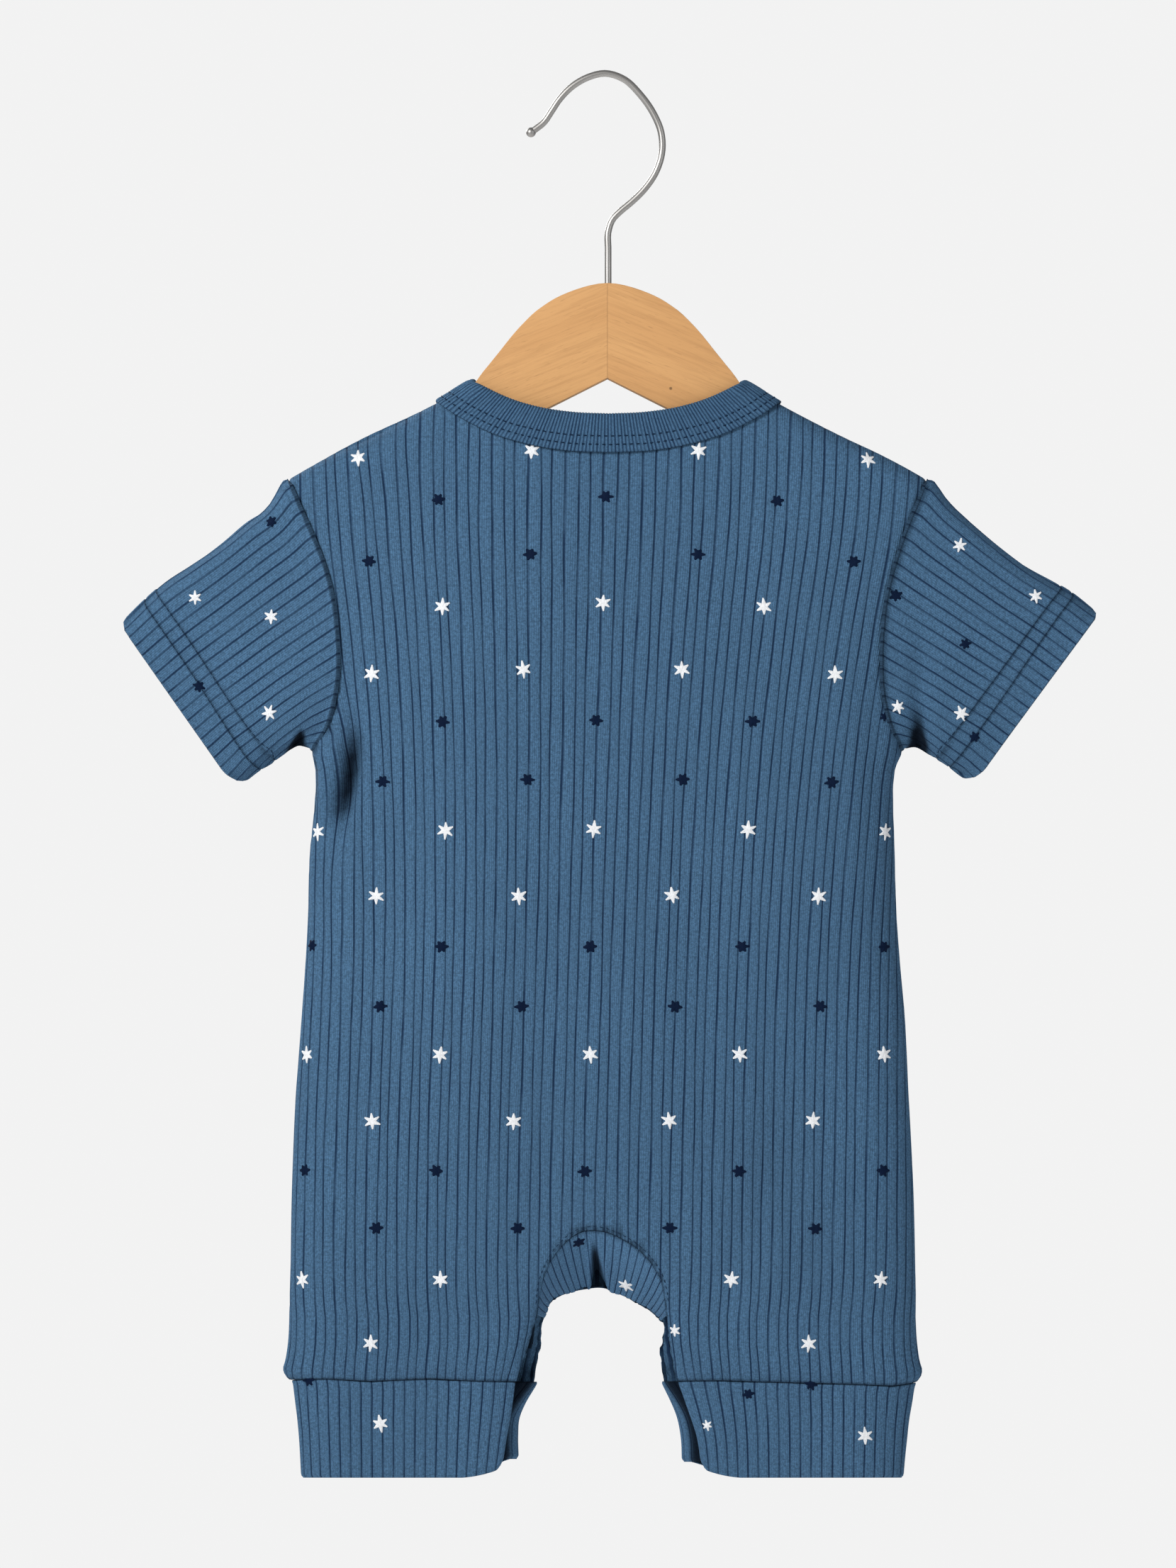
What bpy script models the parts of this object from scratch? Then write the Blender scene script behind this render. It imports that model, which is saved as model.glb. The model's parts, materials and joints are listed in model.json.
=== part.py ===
"""A baby's short-sleeve romper hung flat on its small wooden hanger.

Z is up and the origin is where the hook bears on whatever it hangs from.
The garment's back faces -Y and its front faces +Y, so +X is the wearer's right.
Sizes are in millimetres here, and MM turns them into metres as each mesh is made.
"""

import math

import bmesh
import bpy
import numpy as np

MM = 0.001

# ---------------------------------------------------------------- cloth sizes
CLOTH = 1.2            # one layer of rib knit
HEM_CLOTH = 2.2        # the turned hem of a sleeve
CUFF_CLOTH = 2.0       # a cuff is folded double
SEAM_GAP = 0.3         # left between neighbouring pieces
PLACKET_INSET = 0.5    # the crotch strip's edges are drawn in by this, past its sharp corners
SHOULDER_ROLL = 8.6    # how far the cloth stands off the hanger's middle plane
SIDE_ROLL = 22.0       # width of the rounded side of the body
MIDDLE = 0.9           # x of the shoulder line's middle
NECK_MIDDLE = 1.4      # x of the neck opening's middle

# Height against half thickness of the hanging garment.
DEPTHS = [
    # height, half_depth
    (-120.0, 8.6),
    (-150.0, 8.7),
    (-180.0, 9.6),
    (-215.0, 11.6),
    (-281.0, 14.0),
    (-340.0, 15.0),
    (-450.0, 15.0),
    (-500.0, 13.6),
    (-541.0, 12.9),
    (-545.5, 11.7),
    (-560.0, 11.5),
    (-590.0, 11.2),
]

# Armhole seams down to the underarm, then side seams down to the cuffs.
SIDES = [
    # height, left, right
    (-168.6, -132.7, 134.5),
    (-178.0, -128.9, 131.2),
    (-186.0, -125.4, 127.8),
    (-202.0, -118.8, 122.3),
    (-217.0, -114.6, 118.4),
    (-232.0, -112.7, 116.6),
    (-246.0, -112.2, 116.2),
    (-261.0, -114.1, 117.5),
    (-272.0, -117.4, 120.6),
    (-281.0, -122.6, 124.4),
    (-288.0, -121.3, 121.6),
    (-303.0, -121.4, 120.4),
    (-320.0, -123.2, 120.9),
    (-356.0, -124.4, 122.1),
    (-392.0, -126.8, 125.1),
    (-427.0, -129.4, 126.9),
    (-463.0, -130.9, 128.7),
    (-504.0, -131.8, 129.8),
    (-530.0, -132.6, 130.3),
    (-539.0, -134.2, 131.9),
    (-542.5, -134.0, 131.9),
    (-545.5, -131.5, 129.8),
    (-553.0, -130.0, 127.5),
    (-560.5, -129.1, 126.3),
    (-571.0, -128.2, 125.7),
    (-586.0, -126.8, 124.0),
]
SHOULDER_TIP = -168.6
UNDERARM = -281.0
ARMHOLE_FULL = 45.0      # above the underarm, the armhole is fully open from here up
ARMHOLE_SHARE = 0.9      # half depth at an armhole as a share of the body's
CUFF_SEAM = -545.5
CUFF_HEM = -585.6

# Top line of the cloth over the hanger's arms, by distance from the middle.
SHOULDER = [
    # reach, height
    (57.0, -128.3),
    (71.5, -136.6),
    (88.7, -145.7),
    (100.6, -151.6),
    (113.4, -157.6),
    (124.7, -163.5),
    (133.6, -168.6),
]
HANGER_NECK_SLOPE = 1.23  # the hanger rises this steeply inside the neck opening

# Neck edges of the two panels, by distance from the middle of the neck.
NECK_EDGE = [
    # reach, back_height, front_height
    (0.0, -142.4, -180.0),
    (15.0, -141.7, -177.6),
    (31.5, -139.0, -168.2),
    (41.3, -136.0, -157.6),
    (48.2, -133.0, -146.8),
    (53.8, -130.1, -134.9),
    (57.0, -128.3, -128.3),
]
# Lower edges of the neckband, likewise.
BAND_EDGE = [
    # reach, back_height, front_height
    (0.0, -156.8, -194.6),
    (19.0, -155.9, -191.6),
    (36.0, -152.8, -182.6),
    (48.5, -148.9, -172.4),
    (60.0, -143.3, -158.0),
    (67.0, -139.3, -145.6),
    (71.5, -136.6, -136.6),
]
NECK_REACH = 57.0
BAND_REACH = 71.5

# Neckband: a strip of rib bound over the neck edge, one leaf on each side of it.
BAND_LEAF = 0.9
BAND_GAP = 0.65
BAND_FOLD = 1.7          # how far the fold stands past the neck edge
FOLD_INSIDE = 0.5        # how far the fold's inner side stands past it
FOLD_CORNER = 0.8        # the fold's two corners, as a share of how far it stands out
INNER_LEAF_SHARE = 0.5   # width of the inner leaf as a share of the outer one
SLOPE_SHARE = 0.05       # the fold's direction is taken over this share of the band

# Lower edges between the two inner leg corners, from left to right.
CROTCH = [
    # back_x, back_z, front_x, front_z
    (-37.3, -545.5, -30.2, -545.5),
    (-31.4, -528.0, -27.0, -531.0),
    (-28.3, -518.0, -25.6, -519.0),
    (-25.6, -501.5, -23.0, -512.5),
    (-19.8, -490.6, -16.5, -508.8),
    (-9.5, -482.6, -8.8, -507.0),
    (-1.5, -482.4, -1.2, -506.4),
    (6.0, -485.2, 6.0, -509.0),
    (14.3, -490.6, 13.0, -512.3),
    (22.5, -501.5, 19.2, -515.6),
    (25.5, -518.0, 23.6, -520.0),
    (26.7, -530.0, 22.8, -533.0),
    (30.1, -545.5, 24.6, -545.5),
]
PLACKET_FIRST = 2        # the crotch strip runs between these two rows of CROTCH
PLACKET_LAST = 10
PLACKET_SHARES = (0.0, 0.22, 0.48, 0.75, 1.0)
PLACKET_SAG = 1.5

# Inner edges of the legs and cuffs, on the garment's back and front.
INNER_LEGS = [
    # height, back_left, back_right, front_left, front_right
    (-500.0, -25.4, 22.0, -20.0, 19.0),
    (-518.0, -28.3, 25.5, -25.6, 23.6),
    (-530.0, -32.1, 26.7, -27.0, 23.0),
    (-545.5, -37.3, 30.1, -30.2, 24.6),
    (-553.0, -38.8, 32.8, -33.4, 27.6),
    (-560.0, -39.8, 35.3, -36.2, 30.2),
    (-568.0, -41.4, 37.8, -36.9, 31.4),
    (-579.0, -41.9, 39.4, -37.6, 31.8),
    (-586.0, -45.0, 42.5, -40.0, 34.0),
]
INNER_EASE = 14.0        # the inner leg edges curl over this width

# How far an inner leg edge curls in.
INNER_CURL = [
    # height, share of depth squared left at the edge, how far the curl has set in
    (-548.5, 0.72, 1.0),
    (-530.5, 0.42, 1.0),
    (-518.0, 0.42, 1.0),
    (-492.0, 0.42, 0.0),
]

# The front end of each cuff turns round the inner leg and passes under the back end.
CUFF_WRAP = [
    # outwards, backwards, both from the front end's corner
    (1.5, 4.0),
    (1.0, 9.0),
    (-3.0, 13.0),
    (-9.0, 14.6),
    (-17.0, 15.0),
]
CUFF_LEVELS = (CUFF_SEAM, -553.0, -562.0, -573.0, -581.0, CUFF_HEM)
CUFF_CORNER = 3.6        # the free corners of a cuff's ends are cut up by this
CORNER_SHARE = 0.92      # from this share of the way across the leg

# ---------------------------------------------------------------- panel grids
ROLL_ANGLES = (0.0, 30.0, 60.0, 90.0)
ARMHOLE_ROWS = (0.035, 0.08, 0.13, 0.18, 0.225, 0.255, 0.275)
BODY_ROWS = (0.30, 0.35, 0.44, 0.56, 0.69, 0.82, 0.93, 0.985, 1.0)
SHOULDER_REACHES = (133.6, 129.5, 118.0, 103.0, 88.0, 71.5)
HEM_REACHES = (131.5, 127.5, 117.0, 102.0, 87.0, 73.0)
NECK_REACHES = (45.0, 33.0)
NECK_HEM_SHARES = (0.22, 0.33, 0.44, 0.56, 0.78, 1.0)
ARCH_TOP_REACHES = (27.0, 23.0, 19.0, 14.0, 7.0)

# ---------------------------------------------------------------- sleeves
SLEEVE_TOPS = [
    # share, left_x, left_z, right_x, right_z
    (0.0, -132.7, -168.6, 134.5, -168.6),
    (0.15, -141.0, -178.6, 144.0, -177.8),
    (0.35, -155.5, -190.0, 158.0, -189.2),
    (0.6, -173.5, -203.5, 176.3, -203.0),
    (0.8, -187.5, -215.0, 190.5, -213.6),
    (1.0, -201.1, -227.5, 204.8, -224.9),
]
SLEEVE_UNDERS = [
    # share, left_x, left_z, right_x, right_z
    (0.0, -122.6, -281.0, 124.4, -281.0),
    (0.2, -128.5, -279.2, 130.0, -279.4),
    (0.4, -134.5, -281.9, 136.0, -282.4),
    (0.75, -144.7, -289.1, 146.5, -289.0),
    (1.0, -152.1, -294.2, 154.1, -293.6),
]
SLEEVE_SHARES = (0.0, 0.18, 0.38, 0.58, 0.78, 0.8, 1.0)
SLEEVE_HEM_SHARE = 0.79
SLEEVE_HEM_DEPTH = 9.6
SLEEVE_ROLL_SHARE = 0.1  # share of the hem taken by each rounded edge

# ---------------------------------------------------------------- snaps
SNAP_RADIUS = 4.2
SNAP_POST_RADIUS = 2.6
SNAP_DISC = 0.6
SNAP_SIDES = 16
SNAP_PLACES = [
    # name, x, y, z, thickness
    ("snap_cuff_left", -43.4, -6.3, -561.6, 1.9),
    ("snap_cuff_right", 38.7, -6.3, -561.6, 1.9),
]

# ---------------------------------------------------------------- hanger
WOOD_THICK = 10.4
WOOD_EASE = 3.2
WOOD_OUTLINE = [
    # reach, height along the top from the middle to the arm
    (0.0, -86.5),
    (7.0, -87.1),
    (13.7, -89.1),
    (19.4, -91.3),
    (24.5, -94.2),
    (29.5, -97.5),
    (34.0, -101.8),
    (39.6, -108.0),
    (44.6, -114.5),
    (49.6, -120.8),
    (52.2, -125.0),
    (53.6, -129.2),
    (54.6, -132.0),
]
ARM_START = 57.0         # the arm is straight from here to its rounded tip
ARM_START_Z = -133.4
ARM_END = 117.0
ARM_SLOPE = 0.486
NOTCH_Z = -126.2         # top of the shallow V under the middle
NOTCH_SLOPE = 0.451
ARM_TIP_STEPS = 6
ARM_TIP_ROUND = 0.8      # length of the rounded tip as a share of its half height

WIRE = 2.85              # diameter of the hook's wire
BORE_DEPTH = 14.0
BORE_CLEARANCE = 0.35
HOOK_ROUTE = [
    # x, z along the wire's middle, from inside the wood to the tip
    (1.2, -99.5),
    (1.2, -86.9),
    (1.2, -72.0),
    (1.25, -64.6),
    (2.9, -59.8),
    (6.2, -56.3),
    (10.2, -53.0),
    (16.4, -46.9),
    (21.2, -39.7),
    (23.8, -30.6),
    (23.2, -22.6),
    (20.4, -15.8),
    (14.6, -7.4),
    (7.8, -1.0),
    (0.0, 1.43),
    (-7.2, -0.2),
    (-13.0, -3.4),
    (-19.3, -9.6),
    (-22.5, -14.4),
    (-25.8, -19.2),
    (-29.9, -22.4),
]
HOOK_POINTS = 60
HOOK_SIDES = 8
HOOK_BEAD = [
    # distance past the wire's end, radius
    (0.5, 1.75),
    (1.5, 2.0),
    (2.6, 1.75),
    (3.3, 0.9),
]

SHARP_ANGLE = 50.0       # edges sharper than this many degrees are drawn sharp
SLOPE_STEP = 0.05        # step over which the cloth's slope is measured
SAME_POINT = 0.005       # points nearer than this are one point

# name: red, green, blue, roughness, metallic
FINISHES = {
    "rib_knit": (0.062, 0.125, 0.215, 0.92, 0.0),
    "rib_trim": (0.055, 0.115, 0.2, 0.92, 0.0),
    "maple": (0.64, 0.39, 0.19, 0.45, 0.0),
    "chrome": (0.8, 0.8, 0.8, 0.12, 1.0),
    "white_plastic": (0.85, 0.85, 0.83, 0.35, 0.0),
}


def cubic(at, places, values):
    """Reads a smooth curve through a short table at one place or at several."""
    places = np.asarray(places, float)
    values = np.asarray(values, float)
    if places[0] > places[-1]:
        places, values = places[::-1], values[::-1]
    slopes = np.gradient(values, places)
    at = np.clip(at, places[0], places[-1])
    cell = np.clip(np.searchsorted(places, at, side="right") - 1, 0, len(places) - 2)
    width = places[cell + 1] - places[cell]
    t = (at - places[cell]) / width
    start = (2 * t**3 - 3 * t**2 + 1) * values[cell] + (t**3 - 2 * t**2 + t) * width * slopes[cell]
    end = (3 * t**2 - 2 * t**3) * values[cell + 1] + (t**3 - t**2) * width * slopes[cell + 1]
    return start + end


def column(table, index):
    return [row[index] for row in table]


def read(table, at, index):
    """Smooth value of one column of a table whose first column is the place."""
    return cubic(at, column(table, 0), column(table, index))


def bulge(share):
    """Square of a quarter circle's height, 0 at its foot and 1 at its crown."""
    return 1 - (1 - np.minimum(share, 1.0)) ** 2


# ---------------------------------------------------------------- the cloth's surface
def ridge(x):
    """Height of the cloth where it crosses the top of the hanger's arms."""
    reach = np.abs(x - MIDDLE)
    outside = read(SHOULDER, reach, 1)
    inside = SHOULDER[0][1] + (NECK_REACH - reach) * HANGER_NECK_SLOPE
    return np.where(reach < NECK_REACH, inside, outside)


def side_edges(z):
    return read(SIDES, z, 1), read(SIDES, z, 2)


def depth_squared(x, z, face):
    """Square of the cloth's distance from the middle plane; face is -1 for the back."""
    depth = read(DEPTHS, z, 1)
    roll = 1 - (1 - np.minimum((ridge(x) - z) / SHOULDER_ROLL, 1.0)) ** 2
    left, right = side_edges(z)
    open_share = ARMHOLE_SHARE**2 * np.where(
        z > UNDERARM, bulge((z - UNDERARM) / ARMHOLE_FULL), 0.0
    )
    reach = np.minimum(x - left, right - x) / SIDE_ROLL
    side = open_share + (1 - open_share) * bulge(reach)
    first = 1 if face < 0 else 3
    inner_left, inner_right = read(INNER_LEGS, z, first), read(INNER_LEGS, z, first + 1)
    from_edge = np.where(x < 0, inner_left - x, x - inner_right) / INNER_EASE
    curl = np.interp(z, column(INNER_CURL, 0), column(INNER_CURL, 1))
    onset = np.interp(z, column(INNER_CURL, 0), column(INNER_CURL, 2))
    ease = curl + (1 - curl) * bulge(np.maximum(from_edge, 0.0))
    return depth**2 * roll * side * (1 - onset + onset * ease)


def cloth_point(x, z, face):
    """Point of the outer face of the back (face -1) or front (face 1)."""
    return np.array([x, face * math.sqrt(max(float(depth_squared(x, z, face)), 0.0)), z])


def cloth_normal(x, z, face):
    y = cloth_point(x, z, face)[1]
    across = depth_squared(x + SLOPE_STEP, z, face) - depth_squared(x - SLOPE_STEP, z, face)
    down = depth_squared(x, z + SLOPE_STEP, face) - depth_squared(x, z - SLOPE_STEP, face)
    normal = np.array([-float(across), 4 * SLOPE_STEP * y, -float(down)])
    return normal / np.linalg.norm(normal)


def reach_at_drop(drop, edge_table, limit, face, middle):
    """How far from the middle an edge lies where it is this far below the ridge."""
    index = 1 if face < 0 else 2
    low, high = 0.0, limit
    for _ in range(50):
        mid = (low + high) / 2
        x = middle - mid
        if float(ridge(x) - read(edge_table, mid, index)) > drop:
            low = mid
        else:
            high = mid
    return low


def roll_drops():
    return [SHOULDER_ROLL * (1 - math.cos(math.radians(angle))) for angle in ROLL_ANGLES]


def neck_reaches(face):
    """Distances from the neck's middle at which the panels' columns meet the neck edge."""
    turning = [NECK_REACH]
    for drop in roll_drops()[1:]:
        turning.append(reach_at_drop(drop, NECK_EDGE, NECK_REACH, face, NECK_MIDDLE))
    return turning + list(NECK_REACHES) + list(ARCH_TOP_REACHES) + [0.0]


def neck_point(reach, side, face):
    index = 1 if face < 0 else 2
    return NECK_MIDDLE + side * reach, float(read(NECK_EDGE, reach, index))


def top_line(face):
    """Top ends of a panel's columns, from the left shoulder tip to the right one."""
    tips = side_edges(SHOULDER_TIP)
    line = [(float(tips[0]), SHOULDER_TIP)]
    line += [(MIDDLE - reach, float(ridge(MIDDLE - reach))) for reach in SHOULDER_REACHES[1:]]
    reaches = neck_reaches(face)
    line += [neck_point(reach, -1, face) for reach in reaches]
    line += [neck_point(reach, 1, face) for reach in reaches[-2::-1]]
    line += [(MIDDLE + reach, float(ridge(MIDDLE + reach))) for reach in SHOULDER_REACHES[:0:-1]]
    line += [(float(tips[1]), SHOULDER_TIP)]
    return line


def bottom_line(face):
    """Bottom ends of a panel's columns, cuff seam, inner leg and crotch edge."""
    first = 0 if face < 0 else 2
    crotch = [(row[first], row[first + 1]) for row in CROTCH]
    outer_left, outer_right = side_edges(CUFF_SEAM)
    left = [(-reach, CUFF_SEAM) for reach in HEM_REACHES[1:]]
    right = [(reach, CUFF_SEAM) for reach in HEM_REACHES[:0:-1]]
    inner_left, inner_right = crotch[0][0], crotch[-1][0]
    left += [(left[-1][0] + (inner_left - left[-1][0]) * share, CUFF_SEAM) for share in NECK_HEM_SHARES]
    right = [
        (right[0][0] + (inner_right - right[0][0]) * share, CUFF_SEAM)
        for share in NECK_HEM_SHARES[::-1]
    ] + right
    return (
        [(float(outer_left), CUFF_SEAM)]
        + left[:-1]
        + crotch
        + right[1:]
        + [(float(outer_right), CUFF_SEAM)]
    )


def row_heights(top_z, bottom_z):
    """Heights of one column's points: over the hanger's arm, past the armhole, to the hem."""
    heights = [top_z - drop for drop in roll_drops()]
    start = heights[-1]
    whole = SHOULDER_TIP - SHOULDER_ROLL - CUFF_SEAM
    underarm_share = (SHOULDER_TIP - SHOULDER_ROLL - UNDERARM) / whole
    shares = list(ARMHOLE_ROWS) + [underarm_share] + list(BODY_ROWS)
    return heights + [start + (bottom_z - start) * share for share in shares]


UNDERARM_ROW = len(ROLL_ANGLES) + len(ARMHOLE_ROWS)


def panel_grid(face):
    """Rows run down from the shoulders and columns from the left side to the right."""
    tops, bottoms = top_line(face), bottom_line(face)
    columns = []
    for number, (top, bottom) in enumerate(zip(tops, bottoms)):
        heights = row_heights(top[1], bottom[1])
        shares = []
        for x, z in (top, bottom):
            left, right = side_edges(min(z, SHOULDER_TIP))
            shares.append(float((x - left) / (right - left)))
        points = []
        for z in heights:
            fall = (top[1] - z) / (top[1] - bottom[1])
            left, right = side_edges(min(z, SHOULDER_TIP))
            share = shares[0] + (shares[1] - shares[0]) * fall
            x = float(left + (right - left) * share)
            if number in (0, len(tops) - 1):
                x = float(left if number == 0 else right)
            points.append(cloth_point(x, z, face))
        columns.append(points)
    return np.array(columns).transpose(1, 0, 2)


def sleeve_grid(side, back, front):
    """Rows run out along the sleeve, and columns round it from the shoulder tip."""
    edge = 0 if side < 0 else -1
    first = 1 if side < 0 else 3
    rim_back = back[: UNDERARM_ROW + 1, edge]
    rim_front = front[: UNDERARM_ROW + 1, edge]
    steps = np.linalg.norm(np.diff(rim_back, axis=0), axis=1)
    along = np.concatenate([[0.0], np.cumsum(steps)]) / steps.sum()
    armhole = rim_back[:, [0, 2]]
    hem_roll = bulge(along / SLEEVE_ROLL_SHARE) * bulge((1 - along) / SLEEVE_ROLL_SHARE)
    rows = []
    for share in SLEEVE_SHARES:
        top = np.array([read(SLEEVE_TOPS, share, first), read(SLEEVE_TOPS, share, first + 1)])
        under = np.array([read(SLEEVE_UNDERS, share, first), read(SLEEVE_UNDERS, share, first + 1)])
        hem_top = np.array(SLEEVE_TOPS[-1][first : first + 2])
        hem_under = np.array(SLEEVE_UNDERS[-1][first : first + 2])
        ring = []
        for number, t in enumerate(along):
            hem = hem_top + (hem_under - hem_top) * t
            across = (1 - share) * armhole[number] + share * hem
            sides = (1 - t) * top + t * under
            corners = (1 - share) * ((1 - t) * armhole[0] + t * armhole[-1]) + share * hem
            x, z = across + sides - corners
            hem_y = SLEEVE_HEM_DEPTH * math.sqrt(max(hem_roll[number], 0.0))
            ring.append((x, z, hem_y))
        behind = [(x, (1 - share) * rim_back[n][1] - share * y, z) for n, (x, z, y) in enumerate(ring)]
        before = [(x, (1 - share) * rim_front[n][1] + share * y, z) for n, (x, z, y) in enumerate(ring)]
        rows.append(behind + before[-2:0:-1])
    return np.array(rows)


def placket_grid(back, front):
    """The strip that closes the crotch: rows run from the back's arch to the front's."""
    first = back.shape[1] // 2 - len(CROTCH) // 2
    span = slice(first + PLACKET_FIRST, first + PLACKET_LAST + 1)
    behind, before = back[-1, span], front[-1, span]
    rows = []
    for share in PLACKET_SHARES:
        level = behind + (before - behind) * share
        sag = PLACKET_SAG * math.sin(math.pi * share)
        lift = np.linspace(-1, 1, len(level)) ** 2
        level[:, 2] -= sag * (1 - lift)
        rows.append(level)
    return np.array(rows)


def cuff_grid(side, back, front):
    """A cuff from its back end, round the leg, and in under that end again."""
    count = len(HEM_REACHES) + len(NECK_HEM_SHARES)
    top_back = back[-1, :count] if side < 0 else back[-1, ::-1][:count]
    top_front = front[-1, :count] if side < 0 else front[-1, ::-1][:count]
    outer = 1 if side < 0 else 2
    rows = []
    for number, level in enumerate(CUFF_LEVELS):
        faces = {}
        for face, top in ((-1, top_back), (1, top_front)):
            inner = float(read(INNER_LEGS, level, (1 if face < 0 else 3) + (0 if side < 0 else 1)))
            edge = float(read(SIDES, level, outer))
            shares = (top[:, 0] - top[0, 0]) / (top[-1, 0] - top[0, 0])
            points = []
            for share in shares:
                x = edge + (inner - edge) * share
                height = level
                if number == len(CUFF_LEVELS) - 1:
                    corner_share = max(0.0, share - CORNER_SHARE) / (1 - CORNER_SHARE)
                    height += CUFF_CORNER * corner_share**2
                points.append(cloth_point(x, height, face))
            if number == 0:
                points = list(top)
            faces[face] = points
        corner = faces[1][-1]
        wrap = [corner + np.array([-side * out, -back_by, 0.0]) for out, back_by in CUFF_WRAP]
        rows.append(faces[-1][::-1] + faces[1][1:] + wrap)
    return np.array(rows)


# ---------------------------------------------------------------- walls from grids
def cells(grid, closed):
    """Corner indices of each square cell of a grid, as (row, column) pairs."""
    rows, columns = grid.shape[:2]
    last = columns if closed else columns - 1
    for row in range(rows - 1):
        for place in range(last):
            after = (place + 1) % columns
            yield (row, place), (row + 1, place), (row + 1, after), (row, after)


def cell_normal(grid, cell):
    a, b, c, d = (grid[corner] for corner in cell)
    return np.cross(c - a, d - b)


def facing(grid, closed, outward):
    """1 where the cells' own order already faces outwards, otherwise -1."""
    total = 0.0
    for cell in cells(grid, closed):
        centre = sum(grid[corner] for corner in cell) / 4
        total += float(np.dot(cell_normal(grid, cell), outward(centre)))
    return 1 if total > 0 else -1


def key(point):
    return tuple(int(round(value / SAME_POINT)) for value in point)


def shared_normals(sheets):
    """Normals at every grid point, shared by all the pieces that meet there."""
    found = {}
    for sheet in sheets.values():
        grid, closed = sheet["grid"], sheet["closed"]
        sheet["turn"] = facing(grid, closed, sheet["outward"])
        for cell in cells(grid, closed):
            normal = cell_normal(grid, cell) * sheet["turn"]
            for corner in cell:
                place = key(grid[corner])
                found[place] = found.get(place, 0.0) + normal
    for sheet in sheets.values():
        grid = sheet["grid"]
        normals = np.zeros_like(grid)
        for row in range(grid.shape[0]):
            for place in range(grid.shape[1]):
                total = found[key(grid[row, place])]
                normals[row, place] = total / np.linalg.norm(total)
        sheet["normals"] = normals


def inset_edges(grid, normals, closed, inset):
    """The grid with its free edges drawn in by this much."""
    moved = grid.copy()
    rows, columns = grid.shape[:2]

    def draw_in(spot, towards, along):
        normal = normals[spot]
        line = along - normal * np.dot(along, normal)
        inward = towards - normal * np.dot(towards, normal)
        inward = inward - line * np.dot(inward, line) / max(np.dot(line, line), 1e-12)
        moved[spot] += inward / np.linalg.norm(inward) * inset

    for place in range(columns):
        before = (place - 1) % columns if closed else max(place - 1, 0)
        after = (place + 1) % columns if closed else min(place + 1, columns - 1)
        for row, inner in ((0, 1), (rows - 1, rows - 2)):
            along = grid[row, after] - grid[row, before]
            draw_in((row, place), grid[inner, place] - grid[row, place], along)
    if not closed:
        for row in range(rows):
            above, below = max(row - 1, 0), min(row + 1, rows - 1)
            for place, inner in ((0, 1), (columns - 1, columns - 2)):
                along = grid[below, place] - grid[above, place]
                draw_in((row, place), grid[row, inner] - grid[row, place], along)
    return moved


def build_wall(name, sheet, finish):
    """A closed wall of cloth whose outer face is the grid."""
    grid, closed, normals = sheet["grid"], sheet["closed"], sheet["normals"]
    outer = inset_edges(grid, normals, closed, sheet["inset"])
    inner = outer - normals * np.asarray(sheet["thickness"], float).reshape(-1, 1, 1)
    rows, columns = grid.shape[:2]
    form = bmesh.new()
    shells = []
    for shell in (outer, inner):
        shells.append(
            {
                (row, place): form.verts.new(shell[row, place] * MM)
                for row in range(rows)
                for place in range(columns)
            }
        )
    for cell in cells(grid, closed):
        form.faces.new([shells[0][corner] for corner in cell])
        form.faces.new([shells[1][corner] for corner in reversed(cell)])
    for row in (0, rows - 1):
        for place in range(columns if closed else columns - 1):
            a, b = (row, place), (row, (place + 1) % columns)
            form.faces.new([shells[0][a], shells[0][b], shells[1][b], shells[1][a]])
    if not closed:
        for place in (0, columns - 1):
            for row in range(rows - 1):
                a, b = (row, place), (row + 1, place)
                form.faces.new([shells[0][a], shells[0][b], shells[1][b], shells[1][a]])
    bmesh.ops.triangulate(form, faces=form.faces)
    return finish_solid(name, form, finish)


def finish_solid(name, form, finish):
    bmesh.ops.recalc_face_normals(form, faces=form.faces)
    if form.calc_volume(signed=True) < 0:
        bmesh.ops.reverse_faces(form, faces=form.faces)
    mesh = bpy.data.meshes.new(name)
    form.to_mesh(mesh)
    form.free()
    mesh.shade_smooth()
    mesh.set_sharp_from_angle(angle=math.radians(SHARP_ANGLE))
    solid = bpy.data.objects.new(name, mesh)
    bpy.context.scene.collection.objects.link(solid)
    mesh.materials.append(finish)
    return solid


def band_section(width):
    """Outline of the bound neck edge: (down the panel, off its face) points."""
    panel = CLOTH + BAND_GAP
    inner = width * INNER_LEAF_SHARE
    return [
        (width, BAND_GAP),
        (width, BAND_GAP + BAND_LEAF),
        (width * 0.5, BAND_GAP + BAND_LEAF),
        (0.0, BAND_GAP + BAND_LEAF),
        (-BAND_FOLD * FOLD_CORNER, FOLD_INSIDE),
        (-BAND_FOLD, -CLOTH / 2),
        (-BAND_FOLD * FOLD_CORNER, -CLOTH - FOLD_INSIDE),
        (0.0, -panel - BAND_LEAF),
        (inner, -panel - BAND_LEAF),
        (inner, -panel),
        (0.0, -panel),
        (-FOLD_INSIDE, -CLOTH / 2),
        (0.0, BAND_GAP),
        (width * 0.5, BAND_GAP),
    ]


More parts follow.
